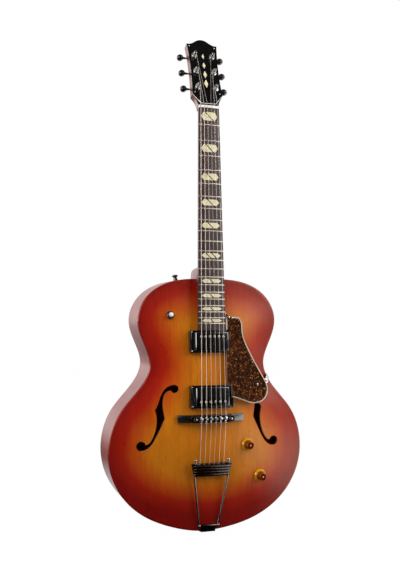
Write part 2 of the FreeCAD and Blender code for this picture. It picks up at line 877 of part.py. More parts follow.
def build_tuners():
    """Six tuning machines: shared housings and bushings, own posts and buttons."""
    housings = []
    bushings = []
    number = 0
    for side, word in ((-1, "bass"), (1, "treble")):
        for row in post_rows:
            x = side * post_offset
            worm_z = row + worm_rise
            block = rounded_box(x - housing_width / 2, x + housing_width / 2, head_thickness,
                                head_thickness + housing_depth, row + housing_shift - housing_height / 2,
                                row + housing_shift + housing_height / 2, housing_round, Y_AXIS)
            gear_half = gear_thickness / 2
            block = block.cut(front_cylinder(gear_radius + gear_gap, -housing_middle - gear_half - gear_gap,
                                             -housing_middle + gear_half + gear_gap, x, row))
            block = block.cut(front_cylinder(post_radius + post_running_gap, -housing_middle, 0, x, row))
            worm_half = worm_length / 2
            bore = Part.makeCylinder(worm_radius + worm_gap, worm_length + 2 * worm_gap,
                                     Vector(x - worm_half - worm_gap, housing_middle, worm_z), X_AXIS)
            stem = Part.makeCylinder(button_shaft_radius + post_running_gap, housing_width,
                                     Vector(x, housing_middle, worm_z), X_AXIS * side)
            housings.append(placed(block.cut(bore).cut(stem), head_frame))

            bushing = front_cylinder(bushing_radius, -head_thickness, headplate_thickness, x, row)
            bushing = bushing.fuse(front_cylinder(bushing_flange_radius, headplate_thickness,
                                                  headplate_thickness + bushing_flange, x, row))
            bushing = bushing.fuse(hexagon(bushing_hex_radius, headplate_thickness + bushing_flange,
                                           bushing_top, x, row))
            bushing = bushing.cut(front_cylinder(post_radius + post_running_gap, -overrun, overrun, x, row))
            bushings.append(placed(bushing, head_frame))

            tip = bushing_top + post_length
            post = front_cylinder(post_radius, -housing_middle, tip - post_cap, x, row)
            post = post.fuse(Part.makeCone(post_radius, post_radius - post_cap, post_cap,
                                           Vector(x, post_cap - tip, row), FRONT))
            post = post.fuse(front_cylinder(gear_radius, -housing_middle - gear_half,
                                            -housing_middle + gear_half, x, row))
            drill = Part.makeCylinder(post_hole_radius, 2 * post_radius + cut_over,
                                      Vector(x - post_radius - cut_over / 2,
                                             2 * post_hole_radius - tip + post_cap, row),
                                      X_AXIS)
            number += 1
            export("tuner_post_%s_%d" % (word, (number - 1) % 3 + 1), placed(post.cut(drill), head_frame))

            ball = Vector(side * button_reach, housing_middle, worm_z)
            shaft_start = Vector(x, housing_middle, worm_z)
            button = Part.makeCylinder(button_shaft_radius, button_reach - post_offset, shaft_start,
                                       X_AXIS * side)
            button = button.fuse(Part.makeCylinder(worm_radius, worm_length,
                                                   shaft_start - X_AXIS * side * worm_half, X_AXIS * side))
            button = button.fuse(Part.makeSphere(button_radius, ball))
            collar_start = ball - X_AXIS * side * (button_radius + button_collar_length / 2)
            button = button.fuse(Part.makeCone(button_sleeve_radius, button_collar_radius,
                                               button_collar_length,
                                               collar_start, X_AXIS * side))
            export("tuner_button_%s_%d" % (word, (number - 1) % 3 + 1), placed(button, head_frame))
    export("tuner_housings", Part.makeCompound(housings))
    export("tuner_bushings", Part.makeCompound(bushings))


saddle_middle = neck_frame.multVec(Vector(0, -saddle_string_lift, -saddle_distance))
hinge_point = Vector(0, -half_rim - hinge_lift, hinge_height)
tail_angle = math.degrees(math.atan2(hinge_point.y - saddle_middle.y, saddle_middle.z - hinge_point.z))
tail_frame = Placement(hinge_point, Rotation(X_AXIS, tail_angle))


def arc_from(start, direction, end):
    """An arc leaving the start in a direction and reaching the end."""
    chord = end - start
    along = chord / chord.Length
    side = direction - along * direction.dot(along)
    if side.Length < 1e-9:
        return line(start, end)
    bend = math.atan2(side.Length, direction.dot(along))
    middle = (start + end) / 2 + side / side.Length * (chord.Length / 2 * math.tan(bend / 2))
    return Part.Arc(start, middle, end).toShape()


def biarc(start, start_way, end, end_way):
    """Two arcs that meet smoothly and keep the directions at both ends."""
    chord = end - start
    both = start_way + end_way
    spread = 2 * (1 - start_way.dot(end_way))
    reach = chord.dot(both)
    arm = chord.Length ** 2 / (reach + math.sqrt(reach ** 2 + spread * chord.Length ** 2))
    meet = (start + start_way * arm + end - end_way * arm) / 2
    second = arc_from(end, -end_way, meet)
    return [arc_from(start, start_way, meet), Part.Arc(meet, second.valueAt(
        (second.FirstParameter + second.LastParameter) / 2), end).toShape()]


def unit(vector):
    """A vector of length one."""
    return vector / vector.Length


def bend(before, corner, after):
    """The two ends of the arc that rounds a corner, and the arc."""
    start = corner + unit(before - corner) * string_bend
    end = corner + unit(after - corner) * string_bend
    return start, end, arc_from(start, unit(corner - start), end)


def string_route(number):
    """One string's path in the part's frame: tailpiece, saddle, nut, then turns round its post."""
    radius = string_diameters[number] / 2
    per_side = len(post_rows)
    side = -1 if number < per_side else 1
    row = number if number < per_side else 2 * per_side - 1 - number
    centre_x = side * post_offset
    centre_z = post_rows[row]
    wind_radius = post_radius + string_gap + radius
    tail = tail_frame.multVec(Vector(string_x(number, tail_string_spread), 0, tail_bar_top + ball_radius))
    saddle = neck_frame.multVec(string_point(number, saddle_distance))
    nut = neck_frame.multVec(string_point(number, 0) + Z_AXIS * nut_thickness)
    local = head_frame.inverse().multVec(nut)
    away_x = local.x - centre_x
    away_z = local.z - centre_z
    away = math.hypot(away_x, away_z)
    turn = math.atan2(away_z, away_x) - side * math.acos(wind_radius / away)
    pitch = 2 * radius + string_turn_gap

    def on_post(quarter):
        angle = turn - side * quarter * RIGHT_ANGLE
        place = Vector(centre_x + wind_radius * math.cos(angle), -wind_start - pitch * quarter / 4,
                       centre_z + wind_radius * math.sin(angle))
        way = Vector(side * math.sin(angle), -pitch / (2 * math.pi * wind_radius), -side * math.cos(angle))
        return head_frame.multVec(place), unit(head_frame.Rotation.multVec(way))
    touch, rising = on_post(0)
    saddle_in, saddle_out, saddle_arc = bend(tail, saddle, nut)
    nut_in, nut_out, nut_arc = bend(saddle, nut, touch)
    edges = [line(tail, saddle_in), saddle_arc, line(saddle_out, nut_in), nut_arc, line(nut_out, touch)]
    place = touch
    way = unit(touch - nut_out)
    for quarter in range(1, string_quarter_turns + 1):
        next_place, next_way = on_post(quarter)
        edges += biarc(place, way, next_place, next_way)
        place = next_place
        way = next_way
    return edges


def least_turn_gap(edges, radius):
    """Least clear distance between windings a turn apart, measured on points."""
    points = []
    for edge in edges[5:]:
        span = edge.LastParameter - edge.FirstParameter
        points += [edge.valueAt(edge.FirstParameter + span * k / 6) for k in range(6)]
    turn = 4 * 2 * 6
    gaps = [(points[a] - points[b]).Length for a in range(len(points))
            for b in range(a + turn * 3 // 4, len(points))]
    return min(gaps) - 2 * radius


def build_strings():
    """Six strings, each one unbroken tube, with their ball ends."""
    solids = []
    for number, diameter in enumerate(string_diameters):
        edges = string_route(number)
        path = Part.Wire(edges)
        start = edges[0].valueAt(edges[0].FirstParameter)
        way = edges[0].tangentAt(edges[0].FirstParameter)
        section = Part.Wire(Part.makeCircle(diameter / 2, start, way))
        tube = path.makePipeShell([section], True, False)
        share = tube.Volume / (path.Length * math.pi * diameter ** 2 / 4)
        print("string", number + 1, "turn gap", round(least_turn_gap(edges, diameter / 2), 3),
              "volume share", round(share, 4))
        solids.append(tube)
        solids.append(placed(front_cylinder(ball_radius, -ball_length / 2, ball_length / 2,
                                            string_x(number, tail_string_spread), tail_bar_top), tail_frame))
    export("strings", Part.makeCompound(solids))


def build_pickups():
    """Two pickups: ring, cover, coils and pole screws."""
    coils = []
    poles = []
    strings_line = pickup_distances
    for index, (distance, word) in enumerate(zip(strings_line, ("neck", "bridge"))):
        half_w = pickup_ring_width / 2
        half_h = pickup_ring_height / 2
        ring = rounded_box(-half_w, half_w, pickup_ring_drop, overrun, -distance - half_h, -distance + half_h,
                           pickup_ring_round, Y_AXIS)
        well_w = pickup_cover_width / 2 + pickup_cover_gap
        well_h = pickup_cover_height / 2 + pickup_cover_gap
        ring = ring.cut(rounded_box(-well_w, well_w, 0, overrun + cut_over, -distance - well_h,
                                    -distance + well_h,
                                    pickup_cover_round + pickup_cover_gap, Y_AXIS))
        for x, z in ring_screw_places(distance):
            ring = ring.cut(front_cylinder(screw_shank_radius, -pickup_ring_drop - ring_screw_length, 0, x,
                                           z))
        export(word + "_pickup_ring", placed(ring, neck_frame).cut(under_top))

        half_w = pickup_cover_width / 2
        half_h = pickup_cover_height / 2
        front = -pickup_cover_lift
        cover = rounded_box(-half_w, half_w, front, front + pickup_cover_depth, -distance - half_h,
                            -distance + half_h, pickup_cover_round, Y_AXIS)
        rim_edges = [edge for edge in cover.Edges if edge.BoundBox.YMax < front + pickup_cover_wall]
        cover = cover.makeFillet(pickup_cover_wall, rim_edges)
        wall = pickup_cover_wall
        cover = cover.cut(box(-half_w + wall, half_w - wall, front + wall, overrun, -distance - half_h + wall,
                              -distance + half_h - wall))
        coil_front = front + wall + coil_gap
        coil = rounded_box(-half_w + wall + coil_gap, half_w - wall - coil_gap, coil_front,
                           coil_front + coil_height,
                           -distance - half_h + wall + coil_gap, -distance + half_h - wall - coil_gap,
                           pickup_cover_round, Y_AXIS)
        pole_z = -distance + (pole_offset if index == 0 else -pole_offset)
        for number in range(len(string_diameters)):
            x = string_point(number, distance).x
            hole = front_cylinder(pole_radius + pole_hole_gap, -overrun, overrun, x, pole_z)
            cover = cover.cut(hole)
            coil = coil.cut(hole)
            poles.append(placed(front_cylinder(pole_radius, -front - pole_length, -front + pole_head, x,
                                               pole_z),
                                neck_frame))
        export(word + "_pickup_cover", placed(cover, neck_frame))
        coils.append(placed(coil, neck_frame))
    export("pickup_coils", Part.makeCompound(coils))
    export("pickup_poles", Part.makeCompound(poles))


def ring_screw_places(distance):
    """The four corner screws of a pickup ring."""
    x = pickup_ring_width / 2 - ring_screw_inset
    z = pickup_ring_height / 2 - ring_screw_inset
    return [(side * x, -distance + end * z) for side in (-1, 1) for end in (-1, 1)]


bar_front = saddle_middle.y + saddle_rise
bar_back = bar_front + bridge_bar_depth
wheel_front = bar_back + thumbwheel_gap
base_front = wheel_front + thumbwheel_thickness + thumbwheel_rest
bridge_height = saddle_middle.z


def build_bridge():
    """The floating bridge: base, posts, thumbwheels, bar, saddles and their screws."""
    half = bridge_base_length / 2
    flat = bridge_base_flat / 2
    tip = -half_rim - arch_rise(half, bridge_height, top_arch) - bridge_base_tip
    corners = [Vector(-half, tip, 0), Vector(-flat, base_front, 0), Vector(flat, base_front, 0),
               Vector(half, tip, 0),
               Vector(half, 0, 0), Vector(-half, 0, 0)]
    base = polygon_face(corners).extrude(Vector(0, 0, bridge_base_width))
    base.translate(Vector(0, 0, bridge_height - bridge_base_width / 2))
    long_edges = [edge for edge in base.Edges if edge.BoundBox.YMax < tip + cut_over / 4 and
                  edge.BoundBox.ZLength < bridge_base_width / 2]
    base = base.makeFillet(bridge_base_round, long_edges).cut(under_top)
    posts = []
    bar = rounded_box(-bridge_bar_length / 2, bridge_bar_length / 2, bar_front, bar_back,
                      bridge_height - bridge_bar_width / 2, bridge_height + bridge_bar_width / 2,
                      bridge_bar_round, Y_AXIS)
    floor = bar_front + bridge_trough_depth
    bar = bar.cut(box(-bridge_trough_length / 2, bridge_trough_length / 2, -overrun, floor,
                      bridge_height - bridge_trough_width / 2, bridge_height + bridge_trough_width / 2))
    for side, word in ((-1, "bass"), (1, "treble")):
        x = side * bridge_post_spacing / 2
        post = Part.makeCylinder(bridge_post_radius,
                                 base_front + bridge_post_sink - bar_front + bridge_post_proud,
                                 Vector(x, base_front + bridge_post_sink, bridge_height), FRONT)
        posts.append(post)
        base = base.cut(post)
        bore = Part.makeCylinder(bridge_post_radius + bridge_post_gap, 2 * overrun,
                                 Vector(x, overrun, bridge_height), FRONT)
        bar = bar.cut(bore)
        wheel = Part.makeCylinder(thumbwheel_radius, thumbwheel_thickness,
                                  Vector(x, wheel_front + thumbwheel_thickness, bridge_height), FRONT)
        for k in range(thumbwheel_notches):
            angle = 2 * math.pi * k / thumbwheel_notches
            notch = Vector(x + thumbwheel_radius * math.cos(angle), wheel_front + overrun,
                           bridge_height + thumbwheel_radius * math.sin(angle))
            wheel = wheel.cut(Part.makeCylinder(thumbwheel_notch_radius, 2 * overrun, notch, FRONT))
        export(word + "_thumbwheel", wheel.cut(bore))
    saddles = []
    screws = []
    wall = (bridge_trough_width - saddle_length) / 2
    for number, diameter in enumerate(string_diameters):
        contact = neck_frame.multVec(string_point(number, saddle_distance))
        crest = contact.y + diameter / 2 + saddle_seat_gap
        z = bridge_height + wall * saddle_shift_shares[number]
        half_l = saddle_length / 2
        crest_half = half_l * saddle_crest_share
        middle_z = contact.z
        profile = [Vector(0, floor, z - half_l), Vector(0, bar_front, z - half_l),
                   Vector(0, crest, middle_z - crest_half),
                   Vector(0, crest, middle_z + crest_half), Vector(0, bar_front, z + half_l),
                   Vector(0, floor, z + half_l)]
        saddle = polygon_face(profile).extrude(X_AXIS * saddle_width)
        saddle.translate(X_AXIS * (contact.x - saddle_width / 2))
        screw_y = (bar_front + floor) / 2
        outside = bridge_height - bridge_bar_width / 2
        screw = Part.makeCylinder(saddle_screw_radius, bridge_bar_width, Vector(contact.x, screw_y, outside),
                                  Z_AXIS)
        hole = Part.makeCylinder(saddle_screw_radius + saddle_screw_gap, overrun,
                                 Vector(contact.x, screw_y, outside - overrun / 2), Z_AXIS)
        head = Part.makeCylinder(saddle_screw_head_radius, saddle_screw_head,
                                 Vector(contact.x, screw_y, outside - saddle_screw_head), Z_AXIS)
        bar = bar.cut(hole)
        saddles.append(saddle.cut(hole))
        screws.append(screw.fuse(head))
    export("bridge_base", base)
    export("bridge_posts", Part.makeCompound(posts))
    export("bridge_bar", bar)
    export("bridge_saddles", Part.makeCompound(saddles))
    export("saddle_screws", Part.makeCompound(screws))


def build_tailpiece():
    """Five bars on two rods that hang from a hinge on the tail."""
    rods = []
    eye_x = hinge_width / 2 - rod_eye_width / 2
    for side in (-1, 1):
        foot = Vector(side * eye_x, 0, 0)
        knee = Vector(side * tail_rod_spread / 2, 0, tail_rod_knee)
        tip = Vector(side * tail_rod_spread / 2, 0, tail_rod_tip)
        lean = unit(knee - foot)
        turn = math.acos(lean.dot(Z_AXIS))
        arm = tail_rod_bend * math.tan(turn / 2)
        start = knee - lean * arm
        end = knee + Z_AXIS * arm
        path = Part.Wire([line(foot, start), arc_from(start, lean, end), line(end, tip)])
        rod = path.makePipeShell([Part.Wire(Part.makeCircle(tail_rod_radius, foot, lean))], True, False)
        eye = Part.makeCylinder(rod_eye_radius, rod_eye_width, foot - X_AXIS * rod_eye_width / 2, X_AXIS)
        rod = rod.fuse(eye).fuse(Part.makeSphere(finial_radius, tip))
        rods.append(rod.cut(Part.makeCylinder(hinge_pin_radius + hinge_knuckle_gap, overrun,
                                              Vector(-overrun / 2, 0, 0), X_AXIS)))
    export("tailpiece_rods", placed(Part.makeCompound(rods), tail_frame))

    bars = []
    for k in range(tail_bar_count):
        width = tail_bar_top_width + (tail_bar_low_width - tail_bar_top_width) * k / (tail_bar_count - 1)
        z = tail_bar_top - tail_bar_pitch * k
        bar = rounded_box(-width / 2, width / 2, -tail_bar_depth / 2, tail_bar_depth / 2,
                          z - tail_bar_height / 2,
                          z + tail_bar_height / 2, tail_bar_round, X_AXIS)
        for side in (-1, 1):
            bar = bar.cut(Part.makeCylinder(tail_rod_radius + tail_rod_gap, overrun,
                                            Vector(side * tail_rod_spread / 2, 0, 0), Z_AXIS))
        bars.append(bar)
    for number, diameter in enumerate(string_diameters):
        x = string_x(number, tail_string_spread)
        half = diameter / 2 + string_slot_gap
        bars[0] = bars[0].cut(front_cylinder(ball_radius + string_slot_gap, -overrun, overrun, x,
                                             tail_bar_top))
        bars[0] = bars[0].cut(box(x - half, x + half, -overrun, half, tail_bar_top, overrun))
    export("tailpiece_bars", placed(Part.makeCompound(bars), tail_frame))

    half_plate = hinge_plate_width / 2
    barrel_half = eye_x - rod_eye_width / 2 - hinge_knuckle_gap
    barrel = Part.makeCylinder(hinge_radius, 2 * barrel_half,
                               Vector(-barrel_half, hinge_point.y, hinge_point.z), X_AXIS)
    pin = Part.makeCylinder(hinge_pin_radius, hinge_width,
                            Vector(-hinge_width / 2, hinge_point.y, hinge_point.z), X_AXIS)
    half_leaf = hinge_plate_thickness / 2
    foot = -half_rim - hinge_foot_lift
    corners = [Vector(-half_plate, hinge_point.y - half_leaf, hinge_point.z),
               Vector(-half_plate, hinge_point.y + half_leaf, hinge_point.z),
               Vector(-half_plate, foot + half_leaf, -hinge_plate_thickness),
               Vector(-half_plate, foot - half_leaf, -hinge_plate_thickness)]
    leaf = polygon_face(corners).extrude(X_AXIS * hinge_plate_width)
    strap = outline_prism(hinge_plate_thickness, foot - half_leaf, hinge_plate_reach)
    strap = strap.common(box(-half_plate, half_plate, -overrun, overrun, -hinge_plate_thickness,
                             hinge_radius))
    strap = strap.cut(outline_prism(0, -half_rim, overrun)).cut(under_top_edge())
    hinge = barrel.fuse(pin).fuse(leaf).fuse(strap)
    hinge = hinge.cut(placed(front_cylinder(pin_shank_radius, -overrun, overrun), pin_frame))
    export("tailpiece_hinge", hinge)


def under_top_edge():
    """The space in front of the rim that the strap keeps clear of."""
    return box(-overrun, overrun, -overrun, -half_rim, 0, overrun)


def strap_pin(frame, shank, seat):
    """A turned strap pin standing on a seat over the rim."""
    outer = seat + pin_length
    points = [(0, -shank), (pin_shank_radius, -shank), (pin_shank_radius, seat), (pin_base_radius, seat),
              (pin_neck_radius, seat + pin_length / 2), (pin_flange_radius, outer - pin_flange),
              (pin_flange_radius, outer - pin_flange / 2), (pin_neck_radius, outer), (0, outer)]
    return revolved(points, frame)


def build_pins():
    """End pin through the hinge, and the strap button on the bass shoulder."""
    export("end_pin", strap_pin(pin_frame, pin_shank_length, hinge_plate_thickness))
    export("strap_button", strap_pin(strap_frame, strap_shank_length, 0))


def knob():
    """A top-hat knob about its own axis, hollow underneath."""
    top = knob_lift + knob_height
    shaft = pot_shaft_radius + knob_shaft_gap
    socket = knob_lift + knob_socket_depth
    bore = pot_bushing_proud + pot_shaft_length + knob_shaft_gap
    return [(knob_socket_radius, knob_lift), (knob_skirt_radius, knob_lift),
            (knob_skirt_radius, knob_lift + knob_skirt_edge),
            (knob_neck_radius, knob_lift + knob_neck_height), (knob_top_radius, top - knob_top_round),
            (knob_top_radius - knob_top_round, top), (knob_boss_radius, top),
            (knob_boss_radius, top + knob_boss_height), (0, top + knob_boss_height), (0, bore), (shaft, bore),
            (shaft, socket), (knob_socket_radius, socket)]


def pivot_pin(radius, reach):
    """Cross pin on which the switch lever swings, in the switch's own frame."""
    return Part.makeCylinder(radius, 2 * reach, Vector(-reach, switch_pivot_depth, 0), X_AXIS)


def build_controls():
    """Two potentiometers with knobs, the pickup switch and the output jack."""
    pots = []
    seat = top_thickness + pot_clearance
    for frame, word in ((volume_frame, "volume"), (tone_frame, "tone")):
        pots.append(revolved([(0, -seat - pot_depth), (pot_radius, -seat - pot_depth), (pot_radius, -seat),
                              (pot_bushing_radius, -seat), (pot_bushing_radius, 0), (pot_nut_radius, 0),
                              (pot_nut_radius, pot_nut_height), (pot_bushing_radius, pot_nut_height),
                              (pot_bushing_radius, pot_bushing_proud), (pot_shaft_radius, pot_bushing_proud),
                              (pot_shaft_radius, pot_bushing_proud + pot_shaft_length),
                              (0, pot_bushing_proud + pot_shaft_length)], frame))
        export(word + "_knob", revolved(knob(), frame))
    export("control_pots", Part.makeCompound(pots))

    seat = top_thickness + switch_body_gap
    body = box(-switch_body_width / 2, switch_body_width / 2, seat, seat + switch_body_depth,
               -switch_body_length / 2, switch_body_length / 2)
    body = body.fuse(front_cylinder(switch_bushing_radius, -seat, switch_bushing_proud))
    body = body.cut(Part.makeCone(switch_pivot_radius, switch_cone_radius,
                                  switch_pivot_depth + switch_bushing_proud,
                                  Vector(0, switch_pivot_depth, 0), FRONT))
    body = body.cut(Part.makeSphere(switch_pivot_radius, Vector(0, switch_pivot_depth, 0)))
    body = body.cut(pivot_pin(switch_pin_radius + switch_pin_gap, switch_pin_reach + switch_pin_gap))
    export("switch_body", placed(body, switch_frame))
    nut = front_cylinder(switch_nut_radius, 0, switch_nut_height)
    nut = nut.cut(front_cylinder(switch_bushing_radius, -cut_over, overrun))
    for k in range(switch_nut_notches):
        angle = 2 * math.pi * k / switch_nut_notches
        nut = nut.cut(front_cylinder(switch_notch_radius, -cut_over, overrun,
                                     switch_nut_radius * math.cos(angle),
                                     switch_nut_radius * math.sin(angle)))
    export("switch_nut", placed(nut, switch_frame))
    tip_end = switch_tip_start + switch_tip_length
    shoulder = Vector(switch_tip_radius, switch_tip_radius - tip_end, 0)
    crest = Vector(0, -tip_end, 0)
    slant = switch_tip_radius * math.sin(math.pi / 4)
    dome = Part.Arc(shoulder, Vector(slant, shoulder.y - slant, 0), crest).toShape()
    corners = [Vector(radius, -height, 0) for radius, height in
               ((0, tip_end), (0, -switch_pivot_depth), (switch_lever_radius, -switch_pivot_depth),
                (switch_lever_radius, switch_tip_start), (switch_tip_foot, switch_tip_start))]
    edges = [line(a, b) for a, b in zip(corners, corners[1:])] + [line(corners[-1], shoulder), dome]
    lever = Part.Face(Part.Wire(edges)).revolve(ORIGIN, Y_AXIS, 360)
    lever = lever.fuse(Part.makeSphere(switch_ball_radius, Vector(0, switch_pivot_depth, 0)))
    lever = lever.fuse(pivot_pin(switch_pin_radius, switch_pin_reach))
    export("switch_lever", placed(lever, switch_frame))

    jack = front_cylinder(jack_barrel_radius, -jack_barrel_length, jack_plate_thickness)
    jack = jack.fuse(front_cylinder(jack_plate_radius, 0, jack_plate_thickness))
    jack = jack.fuse(hexagon(jack_nut_radius, jack_plate_thickness, jack_plate_thickness + jack_nut_height))
    jack = jack.cut(front_cylinder(jack_bore_radius, -overrun, overrun))
    export("output_jack", placed(jack, jack_frame))


def guard_face():
    """The pickguard's outline on the neck's plane."""
    points = [Vector(guard_inner + guard_width * w, guard_drop, -guard_top - guard_length * h)
              for w, h in guard_edge_shares]
    edges = [spline(points), line(points[-1], points[0])]
    return Part.Face(Part.Wire(edges))


def round_screw(head_radius, length, frame):
    """A round-headed screw standing on its frame's origin."""
    return revolved([(0, -length), (screw_shank_radius, -length), (screw_shank_radius, 0), (head_radius, 0),
                     (head_radius - screw_head_height / 2, screw_head_height), (0, screw_head_height)], frame)


def local_frame(frame, x, y, z):
    """A frame moved within itself."""
    return frame.multiply(Placement(Vector(x, y, z), Rotation()))


def bent_strap(path, thickness, width, base, outward, along):
    """A flat strap bent along a path of outward reach and depth, its thickness on the outer side."""
    outer = []
    for before, here, after in zip([None] + path[:-1], path, path[1:] + [None]):
        turns = []
        for start, end in ((before, here), (here, after)):
            if start and end:
                run = math.hypot(end[0] - start[0], end[1] - start[1])
                turns.append(Vector((end[1] - start[1]) / run, (start[0] - end[0]) / run, 0))
        middle = unit(turns[0] + turns[-1])
        reach = thickness / middle.dot(turns[0])
        outer.append((here[0] + middle.x * reach, here[1] + middle.y * reach))
    corners = [base + outward * u + Y_AXIS * v - along * (width / 2) for u, v in path + outer[::-1]]
    return polygon_face(corners).extrude(along * width)


def build_trim():
    """Pickguard, its spacer and rim bracket, and the small screws."""
    guard = guard_face().extrude(Vector(0, guard_thickness, 0))
    for distance in pickup_distances:
        half_w = pickup_cover_width / 2 + guard_notch_gap
        half_h = pickup_cover_height / 2 + guard_notch_gap
        guard = guard.cut(box(-half_w, half_w, -overrun, overrun, -distance - half_h, -distance + half_h))
    notch = pickup_cover_width / 2 + guard_low_notch
    guard = guard.cut(box(-notch, notch, -overrun, overrun, -overrun - guard_top - guard_length,
                          -guard_top - guard_length * guard_low_notch_share))
    spacer_x = guard_inner + guard_screw_inset
    spacer_z = -guard_top - guard_screw_inset - guard_screw_inset
    shelf = guard_drop + guard_thickness
    rim = rim_frame(half_width(bracket_height), bracket_height)
    outward = rim.Rotation.multVec(FRONT)
    along = Vector(-outward.z, 0, outward.x)
    rim_base = Vector(rim.Base.x, 0, rim.Base.z)
    arm_start = neck_frame.inverse().multVec(rim.Base)
    screw_x = arm_start - outward * bracket_screw_place
    arm_y = neck_frame.multVec(Vector(screw_x.x, shelf, screw_x.z)).y + bracket_thickness
    lip = -half_rim - bracket_rim_gap
    path = [(-bracket_reach, arm_y), (-bracket_slope, arm_y), (0, lip), (0, bracket_leg - half_rim)]
    bracket = bent_strap(path, bracket_thickness, bracket_width, rim_base, outward, along)
    bracket = bracket.cut(outline_prism(0, -half_rim, half_rim))
    bracket = bracket.cut(placed(box(-overrun, overrun, -overrun, shelf, -2 * overrun, 0), neck_frame))

    screws = []
    places = [(spacer_x, spacer_z), (screw_x.x, screw_x.z)]
    for x, z in places:
        hole = front_cylinder(screw_shank_radius, -overrun, overrun, x, z)
        guard = guard.cut(hole)
        screws.append(round_screw(guard_screw_head_radius, guard_thickness,
                                  local_frame(neck_frame, x, guard_drop, z)))
    leg_frame = Placement(rim_base + outward * bracket_thickness + Y_AXIS * (bracket_leg / 2 - half_rim),
                          rim.Rotation)
    screws.append(round_screw(guard_screw_head_radius, bracket_thickness, leg_frame))
    bracket = bracket.cut(placed(front_cylinder(screw_shank_radius, -cut_over, cut_over), leg_frame))
    spacer = placed(front_cylinder(spacer_radius, -overrun, -shelf, spacer_x, spacer_z),
                    neck_frame).cut(under_top)
    for distance in pickup_distances:
        for x, z in ring_screw_places(distance):
            if x < 0:
                screws.append(round_screw(screw_head_radius, ring_screw_length,
                                          local_frame(neck_frame, x, pickup_ring_drop, z)))
    for x, z in head_screw_places():
        screws.append(round_screw(screw_head_radius, headplate_thickness,
                                  local_frame(head_frame, x, plate_front, z)))
    export("pickguard", placed(guard, neck_frame))
    export("pickguard_spacer", spacer)
    export("pickguard_bracket", bracket)
    export("trim_screws", Part.makeCompound(screws))


def show_frame(name, frame):
    """Print where a moving piece turns and along which way its front axis points."""
    way = frame.Rotation.multVec(FRONT)
    side = frame.Rotation.multVec(X_AXIS)
    print("frame", name, [round(c, 4) for c in frame.Base], [round(c, 6) for c in way],
          [round(c, 6) for c in side])


def main():
    """Build every node."""
    os.makedirs("parts", exist_ok=True)
    build_body()
    build_neck()
    build_tuners()
    build_strings()
    build_pickups()
    build_bridge()
    build_tailpiece()
    build_pins()
    build_controls()
    build_trim()
    show_frame("head", head_frame)
    show_frame("volume", volume_frame)
    show_frame("tone", tone_frame)
    show_frame("switch", switch_frame)
    show_frame("jack", jack_frame)
    show_frame("strap", strap_frame)
    show_frame("tail", tail_frame)


main()
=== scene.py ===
"""Looks for the archtop guitar: wood, plate and plastic finishes over its solids, on a white stage."""
import json
import math
from collections import namedtuple

import bmesh
import bpy
import numpy as np
from bpy.props import FloatProperty, FloatVectorProperty, IntProperty, PointerProperty
from bpy.types import Operator, Panel, PropertyGroup
from mathutils import Matrix, Vector


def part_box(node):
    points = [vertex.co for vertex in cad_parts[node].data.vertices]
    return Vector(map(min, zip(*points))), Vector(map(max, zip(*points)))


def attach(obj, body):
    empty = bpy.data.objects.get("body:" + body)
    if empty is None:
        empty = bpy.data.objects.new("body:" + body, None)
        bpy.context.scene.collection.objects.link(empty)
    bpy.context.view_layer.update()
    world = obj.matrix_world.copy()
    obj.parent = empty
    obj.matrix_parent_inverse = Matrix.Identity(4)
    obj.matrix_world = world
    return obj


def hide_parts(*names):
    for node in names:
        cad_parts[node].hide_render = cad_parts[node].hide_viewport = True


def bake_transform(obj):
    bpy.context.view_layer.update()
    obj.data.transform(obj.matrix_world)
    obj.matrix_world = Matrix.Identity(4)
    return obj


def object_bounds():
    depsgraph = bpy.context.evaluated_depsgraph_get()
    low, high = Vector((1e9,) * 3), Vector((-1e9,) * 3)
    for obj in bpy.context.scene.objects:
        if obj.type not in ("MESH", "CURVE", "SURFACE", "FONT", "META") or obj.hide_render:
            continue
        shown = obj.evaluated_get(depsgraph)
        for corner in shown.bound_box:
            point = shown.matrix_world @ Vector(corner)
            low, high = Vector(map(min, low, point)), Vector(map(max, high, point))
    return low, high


bl_info = {
    "name": "Archtop guitar",
    "version": (1, 0, 0),
    "blender": (4, 5, 0),
    "location": "3D View > Sidebar > Guitar",
    "description": "Dresses an archtop guitar's solids with wood, plate and plastic finishes",
    "category": "Object",
}

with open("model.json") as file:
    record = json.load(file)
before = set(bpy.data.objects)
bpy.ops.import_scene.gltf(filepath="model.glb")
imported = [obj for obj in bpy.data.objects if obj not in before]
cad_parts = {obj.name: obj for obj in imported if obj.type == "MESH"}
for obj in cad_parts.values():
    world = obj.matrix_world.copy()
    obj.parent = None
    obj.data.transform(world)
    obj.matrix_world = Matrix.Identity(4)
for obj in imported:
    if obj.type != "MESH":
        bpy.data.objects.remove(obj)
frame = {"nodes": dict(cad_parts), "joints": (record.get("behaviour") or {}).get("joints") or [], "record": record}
cad_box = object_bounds()

MM = 0.001
MERGE_GAP = 0.005 * MM
FLAT_ANGLE = math.radians(0.4)
SMOOTH_ANGLE = math.radians(34)
EDGE_ANGLE = math.radians(42)
FULL_TURN = 2 * math.pi
SLACK, TINY = 1e-6, 1e-12
FOCUS, PHOTO_HEIGHT, SENSOR_WIDTH = 765.9, 570, 36

# Frames of the neck, the headstock and the tailpiece: local z runs up the neck, local -y to the front
NECK_FRAME = Matrix.Translation((0, -50.3 * MM, 861 * MM)) @ Matrix.Rotation(math.radians(-2.77), 4, "X")
HEAD_TILT = Matrix.Rotation(math.radians(-17), 4, "X")
HEAD_FRAME = NECK_FRAME @ Matrix.Translation((0, 3.6 * MM, 5 * MM)) @ HEAD_TILT
TAIL_FRAME = Matrix.Translation((0, -50.0 * MM, 11.5 * MM)) @ Matrix.Rotation(math.asin(0.161957), 4, "X")
FACE_FRONT = Matrix.Rotation(math.pi / 2, 4, "X")

